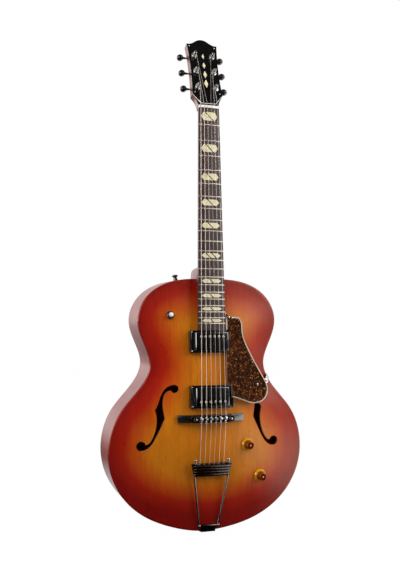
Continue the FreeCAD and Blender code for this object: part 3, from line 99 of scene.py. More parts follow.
NODE_SLOT = {part["node"]: part["material_slot"] for part in frame["record"]["subparts"]}
NODE_BODY = {node: body for body, nodes in frame["record"]["behaviour"]["bodies"].items() for node in nodes}
TUNERS = [(word, row) for word in ("bass", "treble") for row in (1, 2, 3)]


def tone(red, green, blue):
    """A colour from screen values, as the linear numbers that shaders take."""
    def linear(value):
        share = value / 255
        return share / 12.92 if share <= 0.04045 else ((share + 0.055) / 1.055) ** 2.4
    return linear(red), linear(green), linear(blue)


def colour(name, description, default):
    """A colour setting."""
    return FloatVectorProperty(name=name, description=description, default=default, subtype="COLOR",
                               size=3, min=0, max=1)


def length(name, description, default):
    """A length setting in metres."""
    return FloatProperty(name=name, description=description, default=default, unit="LENGTH", min=0,
                         precision=5)


def level(name, description, default, **traits):
    """A plain number setting."""
    return FloatProperty(name=name, description=description, default=default, **traits)


class GuitarWoods(PropertyGroup):
    """Wood colours and the reach of the sunburst."""
    burst_edge: colour("Burst edge", "Stain along the edge of the top", tone(122, 4, 3))
    burst_red: colour("Burst red", "Red between the edge and the middle", tone(150, 20, 3))
    burst_orange: colour("Burst orange", "Orange where the red fades out", tone(175, 72, 4))
    burst_amber: colour("Burst amber", "Amber in the middle of the top", tone(188, 109, 6))
    burst_reach: length("Burst reach", "How far the shading runs in from the edge", 0.125)
    rim_stain: colour("Rim stain", "Stain of the ribs", tone(146, 40, 28))
    back_stain: colour("Back stain", "Middle of the back", tone(140, 62, 22))
    neck_stain: colour("Neck stain", "Neck and headstock wood", tone(122, 50, 36))
    rosewood: colour("Rosewood", "Fretboard wood", tone(58, 41, 36))
    ebony: colour("Ebony", "Bridge base", tone(20, 18, 18))
    bare_wood: colour("Bare wood", "Unstained wood inside and at cut edges", tone(150, 100, 60))


class GuitarPlastics(PropertyGroup):
    """Plastic, inlay and shell colours."""
    black: colour("Black", "Headplate, rings and buttons", tone(12, 11, 12))
    cream: colour("Cream", "Fret and headplate inlays", tone(228, 217, 176))
    shell_dark: colour("Shell dark", "Dark ground of the pickguard", tone(48, 23, 12))
    shell_mid: colour("Shell middle", "Red-brown patches of the pickguard", tone(98, 50, 20))
    shell_light: colour("Shell light", "Light flecks of the pickguard", tone(196, 132, 52))
    shell_edge: colour("Shell edge", "Edge of the pickguard", tone(196, 186, 164))
    amber: colour("Amber", "Knob skirts", tone(224, 156, 10))
    amber_crown: colour("Amber crown", "Sides of the knobs' crowns", tone(112, 50, 12))
    amber_top: colour("Amber top", "Knob tops", tone(84, 14, 6))


class GuitarMetals(PropertyGroup):
    """Metal colours."""
    nickel: colour("Nickel", "Bright plate", tone(222, 220, 216))
    smoke: colour("Smoked chrome", "Pickup covers", tone(118, 116, 118))
    dark_plate: colour("Dark plate", "Tailpiece, tuners and bridge bar", tone(88, 84, 82))
    plain_string: colour("Plain string", "Treble strings", tone(232, 222, 214))
    wound_string: colour("Wound string", "Bass strings", tone(188, 174, 164))


class GuitarShapes(PropertyGroup):
    """Sizes of the softened edges and fine forms."""
    grid_pitch: length("Grid pitch", "Spacing of the points laid over the arched plates", 0.007)
    fine_edge: length("Fine edge", "Softening of small metal edges", 0.00025)
    broad_edge: length("Broad edge", "Softening of larger edges", 0.0006)
    plate_bevel: length("Plate bevel", "Slant along the headplate's lower edges", 0.0022)
    guard_bevel: length("Guard bevel", "Width of the slant round the pickguard", 0.0024)
    guard_slant: length("Guard slant", "Depth of that slant", 0.0012)
    cover_edge: length("Cover edge", "Rounding of the pickup covers", 0.0022)
    knob_steps: IntProperty(name="Knob steps", description="Steps round a knob", default=64, min=16, max=128)


class GuitarStage(PropertyGroup):
    """Camera and light."""
    camera_place: FloatVectorProperty(
        name="Camera", description="Where the camera stands", subtype="TRANSLATION", unit="LENGTH",
        size=3, default=(-0.4762, -1.5366, 0.4298))
    camera_turn: FloatVectorProperty(
        name="Turn", description="Turn to the side, tilt up and lean", subtype="EULER",
        size=3, default=[math.radians(angle) for angle in (-17.1, 2.43, -0.09)])
    focal_length: level("Focal length", "Lens in millimetres on 36 mm", FOCUS / PHOTO_HEIGHT * SENSOR_WIDTH,
                        min=1)
    key_power: level("Key", "Power of the large light on the right", 66, subtype="POWER")
    fill_power: level("Fill", "Power of the light on the left", 24, subtype="POWER")
    back_power: level("Back", "Power of the light behind", 30, subtype="POWER")
    ambient: level("Ambient", "Level of the light from all round", 0.30, min=0)
    front_gloss: level("Front gloss", "How bright the room in front shows in gloss", 0.02, min=0)
    side_gloss: level("Side gloss", "How bright the window on the left shows in gloss", 5.0, min=0)
    paper_white: level("Paper white", "Share of even white in the floor as the camera sees it", 0.95,
                       min=0, max=1)
    paper_glow: level("Paper glow", "Strength of that even white", 1.04, min=0)
    floor_drop: length("Floor drop", "Gap between the guitar and the floor", 0.002)


Settings = namedtuple("Settings", "woods plastics metals shapes stage")


def settings():
    """All the settings of the scene, in one place."""
    scene = bpy.context.scene
    return Settings(scene.guitar_woods, scene.guitar_plastics, scene.guitar_metals, scene.guitar_shapes,
                    scene.guitar_stage)


NOISE_LOW, NOISE_HIGH = 0.3, 0.7
PLAIN_ROUGHNESS = 0.4
CLEAR, SOLID = (0, 0, 0), (1, 1, 1)


class Graph:
    """The nodes and links of a material or a world."""

    def __init__(self, tree):
        self.nodes = tree.nodes
        self.links = tree.links

    def node(self, kind, inputs=(), **traits):
        """A node with its traits set and its inputs linked or filled."""
        made = self.nodes.new("ShaderNode" + kind)
        for trait, value in traits.items():
            setattr(made, trait, value)
        for socket, value in dict(inputs).items():
            if isinstance(value, bpy.types.NodeSocket):
                self.links.new(value, made.inputs[socket])
            else:
                made.inputs[socket].default_value = value
        return made

    def span(self, value, low, high, start=0.0, end=1.0):
        """A value moved from one range to another and kept inside it."""
        return self.node("MapRange", {"Value": value, "From Min": start, "From Max": end, "To Min": low,
                                      "To Max": high}).outputs["Result"]

    def paired(self, operation, first, second):
        """Two values put together by one sum."""
        return self.node("Math", {0: first, 1: second}, operation=operation).outputs[0]

    def axis(self, vector, name):
        """One coordinate of a vector."""
        return self.node("SeparateXYZ", {"Vector": vector}).outputs[name]


class Finish(Graph):
    """A node material with its shader and object coordinates at hand."""

    def __init__(self, name, metal=0.0, coat=0.0, coat_rough=0.08, specular=0.5):
        self.material = bpy.data.materials.new(name + "_finish")
        self.material.use_nodes = True
        super().__init__(self.material.node_tree)
        self.shader = self.nodes["Principled BSDF"]
        for socket, value in (("Roughness", PLAIN_ROUGHNESS), ("Metallic", metal), ("Coat Weight", coat),
                              ("Coat Roughness", coat_rough), ("Specular IOR Level", specular)):
            self.fix(socket, value)
        self.here = self.node("TexCoord").outputs["Object"]

    def fix(self, socket, value):
        """Set a value that is the same all over."""
        self.shader.inputs[socket].default_value = value

    def feed(self, output, socket):
        """Drive a shader socket from a node."""
        self.links.new(output, self.shader.inputs[socket])

    def stretched(self, scale):
        """Object coordinates, stretched."""
        return self.node("Mapping", {"Vector": self.here, "Scale": scale}).outputs["Vector"]

    def local(self, matrix):
        """Object coordinates seen from a frame."""
        place, turn, _ = matrix.decompose()
        return self.node("Mapping", {"Vector": self.here, "Location": place, "Rotation": turn.to_euler()},
                         vector_type="TEXTURE").outputs["Vector"]

    def noise(self, where, scale, detail=3.0, rough=0.55, distortion=0.0):
        """Soft noise from 0 to 1."""
        return self.node("TexNoise", {"Vector": where, "Scale": scale, "Detail": detail, "Roughness": rough,
                                      "Distortion": distortion}).outputs["Fac"]

    def waves(self, scale):
        """Bands across the height."""
        return self.node("TexWave", {"Vector": self.here, "Scale": scale}, wave_type="BANDS",
                         bands_direction="Z").outputs["Fac"]

    def ramp(self, value, stops, steps=False):
        """Colours along a value."""
        made = self.node("ValToRGB", {"Fac": value})
        made.color_ramp.interpolation = "CONSTANT" if steps else "LINEAR"
        elements = made.color_ramp.elements
        while len(elements) < len(stops):
            elements.new(0.5)
        for element, (place, shade) in zip(elements, stops):
            element.position = place
            element.color = (*shade, 1)
        return made.outputs["Color"]

    def mix(self, share, first, second, blend="MIX"):
        """Two colours together; plain colours fill the socket, nodes are linked."""
        made = self.node("Mix", data_type="RGBA", blend_type=blend)
        for index, value in ((0, share), (6, first), (7, second)):
            if isinstance(value, bpy.types.NodeSocket):
                self.links.new(value, made.inputs[index])
            elif index:
                made.inputs[index].default_value = (*value, 1)
            else:
                made.inputs[index].default_value = value
        return made.outputs[2]

    def times(self, first, second):
        """One colour laid over another as a stain."""
        return self.mix(1.0, first, second, "MULTIPLY")

    def bump(self, height, depth, strength=1.0):
        """Small relief from a height."""
        made = self.node("Bump", {"Height": height, "Distance": depth, "Strength": strength})
        self.feed(made.outputs["Normal"], "Normal")

    def worn(self, low, high, scale):
        """Roughness that drifts between two values."""
        self.feed(self.span(self.noise(self.here, scale), low, high, NOISE_LOW, NOISE_HIGH), "Roughness")

    def drift(self, low, high, scale, detail, worn):
        """Colour and polish that drift; a scale of three numbers stretches the colour's drift."""
        where, scale = (self.stretched(scale), 1.0) if isinstance(scale, tuple) else (self.here, scale)
        cloud = self.noise(where, scale, detail)
        self.feed(self.ramp(cloud, ((NOISE_LOW, low), (NOISE_HIGH, high))), "Base Color")
        self.worn(*worn)
        return cloud


def scaled(shade, share):
    """A colour made darker or lighter."""
    return tuple(min(1.0, value * share) for value in shade)


FIBRE_ALONG_NECK = (130, 60, 7)
PORE_ALONG_NECK = (640, 200, 60)
FIBRE_ROUND_RIM = (5, 260, 5)
PORE_ROUND_RIM = (40, 1700, 40)
FIBRE_IN_NECK = (220, 220, 3.2)
PORE_IN_NECK = (1700, 1700, 24)
GRAIN_SHADES = ((0.30, (0.86, 0.82, 0.78)), (0.52, SOLID), (0.75, (1.12, 1.10, 1.04)))
PORE_SHADES = ((0.34, (0.84, 0.80, 0.78)), (0.46, SOLID))
DRIFT_SHADES = ((NOISE_LOW, (0.93, 0.90, 0.88)), (NOISE_HIGH, (1.06, 1.05, 1.03)))
# Painted light by height: the plates are darker low on the body and lighter above the middle
PAINTED_LIGHT_BY_HEIGHT = ((0.0, (0.86,) * 3), (0.30, (0.94,) * 3), (0.55, (1.16,) * 3), (0.85, (1.06,) * 3))
LACQUER_TINT, AMBER_TINT = (1.0, 0.84, 0.60, 1.0), (1.0, 0.80, 0.42, 1.0)


def wood(finish, base, fibre, pore, depth):
    """Lay grain, pores and slow colour drift over a base colour."""
    streak = finish.noise(finish.stretched(fibre), 1.0, 4.0, 0.6, 1.2)
    fleck = finish.noise(finish.stretched(pore), 1.0, 2.0, 0.5)
    cloud = finish.noise(finish.here, 9.0, 2.0)
    shade = finish.times(base, finish.ramp(streak, GRAIN_SHADES))
    shade = finish.times(shade, finish.ramp(fleck, PORE_SHADES))
    finish.feed(finish.times(shade, finish.ramp(cloud, DRIFT_SHADES)), "Base Color")
    finish.bump(fleck, depth, 0.35)


def burst(finish, stops):
    """Stain shading that follows the body's edge, from the edge_gap attribute of the plate, times painted light by
    height that darkens the lower body.
    """
    reach = settings().woods.burst_reach
    gap = finish.node("Attribute", attribute_name="edge_gap").outputs["Fac"]
    drift = finish.noise(finish.here, 14.0, 2.0)
    gap = finish.paired("ADD", gap, finish.span(drift, -0.010, 0.010))
    height = finish.axis(finish.here, "Z")
    gap = finish.paired("ADD", gap, finish.span(height, -0.034, 0.0, 0.02, 0.15))
    shade = finish.ramp(finish.span(gap, 0, 1, 0, reach), stops)
    # Painted light: the burst is multiplied darker at the bottom and lighter above the middle
    return finish.times(shade, finish.ramp(finish.span(height, 0, 1, 0, 0.5), PAINTED_LIGHT_BY_HEIGHT))


def lacquered(name, stops, specular, low, high):
    """A plate's burst and painted light by height, under warm lacquer."""
    finish = Finish(name, coat=0.08, coat_rough=0.2, specular=specular)
    finish.fix("Specular Tint", LACQUER_TINT)
    wood(finish, burst(finish, stops), FIBRE_ALONG_NECK, PORE_ALONG_NECK, 0.05 * MM)
    finish.worn(low, high, 30)
    return finish.material


def burst_top():
    """Stained top: deep red at the edge to amber in the middle."""
    woods = settings().woods
    return lacquered("burst_top",
                     ((0.0, woods.burst_edge), (0.24, woods.burst_red), (0.46, woods.burst_orange),
                                   (0.72, woods.burst_amber)), 0.5, 0.27, 0.35)


def burst_back():
    """Stained back: red-brown edge to a warmer middle."""
    woods = settings().woods
    return lacquered("burst_back", ((0.0, scaled(woods.rim_stain, 0.75)), (0.35, woods.rim_stain),
                                    (0.9, woods.back_stain)), 0.3, 0.30, 0.42)


def cherry_wood():
    """Stained ribs, their grain running round the body."""
    finish = Finish("cherry_wood", coat=0.2, coat_rough=0.2)
    wood(finish, settings().woods.rim_stain, FIBRE_ROUND_RIM, PORE_ROUND_RIM, 0.008 * MM)
    finish.worn(0.28, 0.38, 30)
    return finish.material


def neck_wood():
    """Stained neck wood, grain along the neck, black on the headstock's front: black veneer, which is also painted
    shade in the gap between the headplate's foot and the nut.
    """
    finish = Finish("neck_wood", coat=0.12, coat_rough=0.2)
    # Black on the head's front: black veneer, and painted shade where the gap below the headplate shows dark
    local = finish.local(HEAD_FRAME)
    front = finish.span(finish.axis(local, "Y"), 0, 1, 0, 2 * MM)
    height = finish.span(finish.axis(local, "Z"), 0, 1, -10 * MM, 10 * MM)
    dark = finish.times(finish.ramp(front, ((0.0, SOLID), (0.3, CLEAR))),
                        finish.ramp(height, ((0.2, CLEAR), (0.3, SOLID))))
    stain = finish.mix(dark, settings().woods.neck_stain, scaled(settings().plastics.black, 0.9))
    wood(finish, stain, FIBRE_IN_NECK, PORE_IN_NECK, 0.04 * MM)
    finish.worn(0.28, 0.40, 40)
    return finish.material


def raw_wood(name, base, low, high):
    """Wood without lacquer."""
    finish = Finish(name)
    wood(finish, base, FIBRE_ALONG_NECK, PORE_ALONG_NECK, 0.04 * MM)
    finish.worn(low, high, 40)
    return finish.material


def bare_wood():
    """Unstained wood at the cut edges of the sound holes."""
    return raw_wood("bare_wood", settings().woods.bare_wood, 0.55, 0.75)


def inner_wood():
    """Wood of the inside, its bare colour darkened to about a third as painted shade for the shadowed inside of
    the body.
    """
    return raw_wood("inner_wood", scaled(settings().woods.bare_wood, 0.35), 0.6, 0.8)


def rosewood():
    """Oiled fretboard: dark with browner streaks and open pores."""
    base = settings().woods.rosewood
    finish = Finish("rosewood")
    streak = finish.noise(finish.stretched((260, 120, 5)), 1.0, 4.0, 0.6, 0.6)
    shade = finish.ramp(streak, ((0.30, scaled(base, 0.45)), (0.50, base), (0.72, scaled(base, 1.9))))
    pore = finish.noise(finish.stretched((2200, 900, 60)), 1.0, 2.0)
    open_pore = finish.ramp(pore, ((0.36, (0.45, 0.42, 0.4)), (0.46, SOLID)))
    finish.feed(finish.times(shade, open_pore), "Base Color")
    finish.bump(pore, 0.08 * MM, 0.5)
    finish.worn(0.34, 0.5, 60)
    return finish.material


def ebony():
    """Polished black wood with faint brown grain."""
    base = settings().woods.ebony
    finish = Finish("ebony", coat=0.9, coat_rough=0.08)
    finish.drift(scaled(base, 0.5), scaled(base, 2.2), (6, 60, 240), 3.0, (0.12, 0.18, 50))
    return finish.material


def black_face():
    """Polished black headplate with a white layer that shows along its slanted edges."""
    black = scaled(settings().plastics.black, 0.8)
    finish = Finish("black_face", coat=0.8, coat_rough=0.05)
    depth = finish.span(finish.axis(finish.local(HEAD_FRAME), "Y"), 0, 1, -2.6 * MM, 0)
    plies = ((0.0, black), (0.40, tone(238, 235, 228)), (0.72, black))
    finish.feed(finish.ramp(depth, plies, True), "Base Color")
    finish.worn(0.12, 0.2, 40)
    finish.bump(finish.noise(finish.here, 160, 2.0), 0.01 * MM, 0.3)
    return finish.material


def cream():
    """Cream plastic with a cloudy sheen."""
    base = settings().plastics.cream
    finish = Finish("cream", coat=0.3, coat_rough=0.12)
    cloud = finish.noise(finish.stretched((90, 90, 200)), 1.0, 3.0, 0.6, 1.2)
    sheen = ((0.30, scaled(base, 0.78)), (0.55, base), (0.75, scaled(base, 1.06)))
    finish.feed(finish.ramp(cloud, sheen), "Base Color")
    finish.worn(0.22, 0.36, 80)
    return finish.material


def bone():
    """White bone of the nut and the switch's tip, faintly streaked."""
    base = tone(240, 236, 226)
    finish = Finish("bone", coat=0.2, coat_rough=0.15)
    finish.drift(scaled(base, 0.88), base, (60, 300, 300), 3.0, (0.25, 0.36, 120))
    return finish.material


def metal(name, base, low, high, scale=220):
    """Plated metal: slight drift of tone and polish."""
    finish = Finish(name, metal=1.0)
    finish.drift(scaled(base, 0.86), base, scale, 3.0, (low, high, scale))
    finish.bump(finish.noise(finish.here, scale * 6, 2.0), 0.008 * MM, 0.25)
    return finish.material


def nickel():
    """Bright plate."""
    return metal("nickel", settings().metals.nickel, 0.10, 0.22)


def fret_wire():
    """Fret wire, its crowns brushed by playing."""
    return metal("fret_wire", tone(228, 214, 202), 0.38, 0.5)


def black_metal():
    """Dark plated metal."""
    return metal("black_metal", settings().metals.dark_plate, 0.16, 0.30)


def smoked_chrome():
    """Dark chrome of the pickup covers."""
    return metal("smoked_chrome", settings().metals.smoke, 0.08, 0.16, 90)


def pot_metal():
    """Plain pressed metal of the controls inside."""
    return metal("pot_metal", scaled(settings().metals.nickel, 0.7), 0.3, 0.45)


def rod_steel():
    """Plain steel of the truss rod, the tailpiece's rods, the saddles and the tuning posts."""
    return metal("rod_steel", scaled(settings().metals.nickel, 0.5), 0.26, 0.38)


def black_plastic():
    """Moulded black plastic with a fine tooth."""
    base = settings().plastics.black
    finish = Finish("black_plastic", coat=0.2, coat_rough=0.1)
    tooth = finish.drift(scaled(base, 0.8), scaled(base, 1.3), 1400, 2.0, (0.14, 0.22, 120))
    finish.bump(tooth, 0.01 * MM, 0.3)
    return finish.material


def black_button():
    """Glossy black of the tuning buttons."""
    base = settings().plastics.black
    finish = Finish("black_button", coat=0.25, coat_rough=0.04, specular=0.3)
    finish.drift(scaled(base, 0.6), base, 300, 2.0, (0.10, 0.18, 200))
    return finish.material


def string_steel(name, base, wrap):
    """String metal; a wound one has fine wraps across its length."""
    finish = Finish(name, metal=0.45)
    finish.drift(scaled(base, 0.8), base, (400, 400, 30), 3.0, (0.34, 0.46, 300))
    if wrap:
        finish.bump(finish.waves(1 / (20 * wrap)), 0.08 * MM, 0.6)
    return finish.material


def wound_string():
    """Bass strings."""
    return string_steel("wound_string", settings().metals.wound_string, 0.28 * MM)


def plain_string():
    """Treble strings."""
    return string_steel("plain_string", settings().metals.plain_string, 0)


GUARD_FACE, GUARD_BACK = 1.1, 3.7


def tortoise():
    """Mottled shell pattern, with a pale edge by depth below the pickguard's face."""
    plastics = settings().plastics
    finish = Finish("tortoise", coat=0.7, coat_rough=0.07)
    local = finish.local(NECK_FRAME)
    warp = finish.node("TexNoise", {"Vector": local, "Scale": 70.0, "Detail": 2.0}).outputs["Color"]
    warp = finish.node("VectorMath", {0: warp, 3: 0.012}, operation="SCALE").outputs[0]
    bent = finish.node("VectorMath", {0: local, 1: warp}, operation="ADD").outputs[0]
    blotch = finish.noise(bent, 210, 3.0, 0.65)
    chips = finish.node("TexVoronoi", {"Vector": bent, "Scale": 300.0, "Randomness": 1.0})
    shell = finish.ramp(blotch, ((0.34, scaled(plastics.shell_dark, 0.5)), (0.50, plastics.shell_dark),
                                 (0.64, plastics.shell_mid), (0.80, scaled(plastics.shell_mid, 1.5))))
    chosen = finish.ramp(finish.axis(chips.outputs["Color"], "X"),
                         ((0.0, CLEAR), (0.66, CLEAR), (0.84, (0.9, 0.9, 0.9))))
    chip = finish.ramp(chips.outputs["Distance"], ((0.18, SOLID), (0.42, CLEAR)))
    shell = finish.mix(finish.times(chosen, chip), shell, plastics.shell_light)
    depth = finish.span(finish.axis(local, "Y"), 0, 1, GUARD_FACE * MM, GUARD_BACK * MM)
    edge = finish.ramp(depth, ((0.0, CLEAR), (0.03, SOLID)), True)
    finish.feed(finish.mix(edge, shell, plastics.shell_edge), "Base Color")
    finish.worn(0.10, 0.2, 60)
    return finish.material


def knob_top():
    """Dark red plastic set into the knobs."""
    base = settings().plastics.amber_top
    finish = Finish("knob_top", specular=0.0)
    finish.drift(scaled(base, 0.8), base, 260, 2.0, (0.3, 0.4, 120))
    return finish.material


def brass():
    """Small gilt bosses of the knobs."""
    finish = Finish("brass", specular=0.1)
    finish.drift(tone(204, 140, 66), tone(232, 180, 104), 400, 2.0, (0.4, 0.5, 200))
    return finish.material


def amber(name, centre, way):
    """Clear amber plastic, darker up its crown, by height above the body."""
    plastics = settings().plastics
    finish = Finish(name, specular=0.8)
    finish.fix("Specular Tint", AMBER_TINT)
    turn = Vector((0, -1, 0)).rotation_difference(way).to_matrix().to_4x4()
    local = finish.local(Matrix.Translation(centre) @ turn)
    height = finish.paired("MULTIPLY", finish.axis(local, "Y"), -1.0)
    cloud = finish.noise(local, 220, 2.0)
    skirt = finish.ramp(cloud, ((NOISE_LOW, scaled(plastics.amber, 0.72)), (NOISE_HIGH, plastics.amber)))
    top = finish.ramp(finish.span(height, 0, 1, 0.8 * MM, 17.5 * MM),
                      ((0.0, CLEAR), (0.18, CLEAR), (0.42, SOLID)))
    finish.feed(finish.mix(top, skirt, plastics.amber_crown), "Base Color")
    finish.fix("Subsurface Weight", 0.15)
    finish.fix("Subsurface Scale", 0.004)
    finish.worn(0.14, 0.22, 120)
    return finish.material


SLOT_FINISH = {"burst_top": burst_top, "cherry_wood": cherry_wood, "neck_wood": neck_wood,
               "inner_wood": inner_wood, "rosewood": rosewood, "ebony": ebony, "black_face": black_face,
               "cream": cream, "nickel": nickel, "black_metal": black_metal, "smoked_chrome": smoked_chrome,
               "black_plastic": black_plastic, "string_steel": wound_string, "tortoise": tortoise,
               "pot_metal": pot_metal, "rod_steel": rod_steel}
MADE = {}


def finish_named(make):
    """The material that a finish makes, made once."""
    if make not in MADE:
        MADE[make] = make()
    return MADE[make]


def only(piece):
    """Leave object mode with one object selected and active."""
    if bpy.context.mode != "OBJECT":
        bpy.ops.object.mode_set(mode="OBJECT")
    bpy.ops.object.select_all(action="DESELECT")
    piece.select_set(True)
    bpy.context.view_layer.objects.active = piece


def edit(piece):
    """Edit one object with everything in it selected."""
    only(piece)
    bpy.ops.object.mode_set(mode="EDIT")
    bpy.ops.mesh.select_all(action="SELECT")


def smooth(piece, angle=SMOOTH_ANGLE):
    """Shade smooth up to an angle."""
    only(piece)
    bpy.ops.object.shade_smooth_by_angle(angle=angle)


def apply_modifier(piece, kind, **traits):
    """Add a modifier, set it and apply it."""
    only(piece)
    bpy.ops.object.modifier_add(type=kind)
    modifier = piece.modifiers[-1]
    for trait, value in traits.items():
        setattr(modifier, trait, value)
    bpy.ops.object.modifier_apply(modifier=modifier.name)


def rounded(piece, width, steps):
    """Round the sharp edges."""
    apply_modifier(piece, "BEVEL", width=width, segments=steps, limit_method="ANGLE", angle_limit=EDGE_ANGLE)


def fresh(add, **traits):
    """A new object from one of Blender's own shapes."""
    bpy.ops.object.select_all(action="DESELECT")
    add(**traits)
    return bpy.context.view_layer.objects.active


def cad_copy(node, name):
    """A merged copy of a CAD node's mesh as a new piece."""
    mesh = frame["nodes"][node].data.copy()
    piece = bpy.data.objects.new(name, mesh)
    bpy.context.scene.collection.objects.link(piece)
    mesh.materials.clear()
    edit(piece)
    bpy.ops.mesh.customdata_custom_splitnormals_clear()
    bpy.ops.mesh.remove_doubles(threshold=MERGE_GAP)
    bpy.ops.object.mode_set(mode="OBJECT")
    return piece


def soften(piece, width, steps=2):
    """Join flat faces and round the sharp edges a little."""
    edit(piece)
    bpy.ops.mesh.dissolve_limited(angle_limit=FLAT_ANGLE)
    bpy.ops.object.mode_set(mode="OBJECT")
    if width:
        rounded(piece, width, steps)
    smooth(piece)


def settle(piece, node, material, *others):
    """Give a piece its finish, let it ride on its node's body and stand for its nodes."""
    piece.data.materials.append(material)
    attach(piece, NODE_BODY[node])
    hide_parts(node, *others)
    return piece


def dress(node, width=0.0, make=None, steps=2):
    """A smooth copy of a node with softened edges and its finish."""
    piece = cad_copy(node, node + "_shaped")
    soften(piece, width, steps)
    return settle(piece, node, finish_named(make or SLOT_FINISH[NODE_SLOT[node]]))


def paint(node, make=None):
    """Give a plain CAD node its finish."""
    mesh = frame["nodes"][node].data
    mesh.materials.clear()
    mesh.materials.append(finish_named(make or SLOT_FINISH[NODE_SLOT[node]]))


def joined(pieces, name):
    """Several new objects made one, named."""
    only(pieces[0])
    for piece in pieces[1:]:
        piece.select_set(True)
    bpy.ops.object.join()
    whole = bpy.context.view_layer.objects.active
    whole.name = name
    bpy.ops.object.transform_apply(location=True, rotation=True, scale=True)
    return whole


OUTLINE_COUNT = 720
OUTLINE_CENTRE = (0.0, 0.290)
OUTLINE_DEPTH = 0.020


def rim_outline():
    """Points round the rim, as x and z, read from the outer faces of the ribs."""
    spans = []
    for node in ("bass_rib", "treble_rib"):
        mesh = bmesh.new()
        mesh.from_mesh(frame["nodes"][node].data)
        bmesh.ops.bisect_plane(mesh, geom=mesh.verts[:] + mesh.edges[:] + mesh.faces[:], clear_inner=True,
                               clear_outer=True, plane_co=(0, OUTLINE_DEPTH, 0), plane_no=(0, 1, 0))
        spans += [(*edge.verts[0].co.xz, *edge.verts[1].co.xz) for edge in mesh.edges]
        mesh.free()
    spans = np.array(spans)
    start = spans[:, :2] - OUTLINE_CENTRE
    along = spans[:, 2:] - spans[:, :2]
    points = []
    for angle in np.linspace(0, FULL_TURN, OUTLINE_COUNT, endpoint=False):
        ray = np.array((math.cos(angle), math.sin(angle)))
        cross = ray[0] * along[:, 1] - ray[1] * along[:, 0]
        cross = np.where(np.abs(cross) < TINY, TINY, cross)
        reach = (start[:, 0] * along[:, 1] - start[:, 1] * along[:, 0]) / cross
        share = (start[:, 0] * ray[1] - start[:, 1] * ray[0]) / cross
        hits = reach[(share >= -SLACK) & (share <= 1 + SLACK) & (reach > 0)]
        points.append(ray * hits.max() + OUTLINE_CENTRE)
    return np.array(points)


def edge_gaps(points, outline):
    """Distance of x, z points from the outline."""
    after = np.roll(outline, -1, axis=0)
    along = after - outline
    gaps = np.full(len(points), np.inf)
    for start, way in zip(outline, along):
        share = np.clip(((points - start) @ way) / (way @ way), 0, 1)
        gaps = np.minimum(gaps, np.hypot(*(points - start - share[:, None] * way).T))
    return gaps


BODY_LENGTH = 0.509
HALF_RIM = 0.045
ARCH_POWER = 1.35
ARCH_LENGTH_POWER = 2.5
ARCH_END = 0.09 * BODY_LENGTH
TOP_ARCH, BACK_ARCH = 18 * MM, 16 * MM
ROUNDED_EDGE = 3.6 * MM
FACING, CUT_FACING = 0.75, 0.5


def arch_rise(x, z, rise, outline):
    """How far an arched plate stands over the rim's edge."""
    right = outline[outline[:, 0] >= 0]
    right = right[np.argsort(right[:, 1])]
    width = np.interp(np.clip(z, ARCH_END, BODY_LENGTH - ARCH_END), right[:, 1], right[:, 0])
    along = np.clip(np.abs(z - BODY_LENGTH / 2) / (BODY_LENGTH / 2), 0, 1)
    across = np.clip(np.abs(x) / width, 0, 1)
    return rise * (1 - along ** ARCH_LENGTH_POWER) ** ARCH_POWER * (1 - across ** 2) ** ARCH_POWER


def arched_plate(node, side, rise, outline, pitch):
    """A copy of a plate with an even grid of points on its arch and each point's gap from the edge."""
    piece = cad_copy(node, node + "_shaped")
    mesh = bmesh.new()
    mesh.from_mesh(piece.data)
    broad = [face for face in mesh.faces if face.normal.y * side > FACING]
    geometry = list({vert for face in broad for vert in face.verts}
                    | {edge for face in broad for edge in face.edges} | set(broad))
    low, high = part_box(node)
    for axis, normal in ((0, (1, 0, 0)), (2, (0, 0, 1))):
        for step in range(1, int((high[axis] - low[axis]) / pitch)):
            place = [0, 0, 0]
            place[axis] = low[axis] + pitch * step
            geometry = bmesh.ops.bisect_plane(mesh, geom=geometry, dist=SLACK, plane_co=place,
                                              plane_no=normal)["geom"]
    laid = [vert for vert in mesh.verts if any(face.normal.y * side > FACING for face in vert.link_faces)]
    places = np.array([vert.co.xz for vert in laid])
    gaps = edge_gaps(places, outline)
    heights = side * (HALF_RIM + arch_rise(places[:, 0], places[:, 1], rise, outline))
    for vert, gap, height in zip(laid, gaps, heights):
        if gap > ROUNDED_EDGE:
            vert.co.y = height
    mesh.to_mesh(piece.data)
    mesh.free()
    flat = np.array([vert.co.xz for vert in piece.data.vertices])
    piece.data.attributes.new("edge_gap", "FLOAT", "POINT").data.foreach_set(
        "value", edge_gaps(flat, outline).astype(np.float32))
    smooth(piece)
    return piece


class GUITAR_OT_body(Operator):
    """Arched plates with the sunburst, and the ribs"""
    bl_idname = "guitar.body"
    bl_label = "Body"

    def execute(self, context):
        shapes = settings().shapes
        outline = rim_outline()
        top = arched_plate("top_plate", -1, TOP_ARCH, outline, shapes.grid_pitch)
        settle(top, "top_plate", finish_named(burst_top))
        top.data.materials.append(finish_named(bare_wood))
        flat = edge_gaps(np.array([face.center.xz for face in top.data.polygons]), outline)
        for face, gap in zip(top.data.polygons, flat):
            if gap > ROUNDED_EDGE and abs(face.normal.y) < CUT_FACING:
                face.material_index = 1
        back = arched_plate("back_plate", 1, BACK_ARCH, outline, shapes.grid_pitch)
        settle(back, "back_plate", finish_named(burst_back))
        for word in ("bass", "treble"):
            dress(word + "_rib")
        for node in ("neck_block", "tail_block", "kerfed_linings", "tone_bars"):
            paint(node)
        return {"FINISHED"}


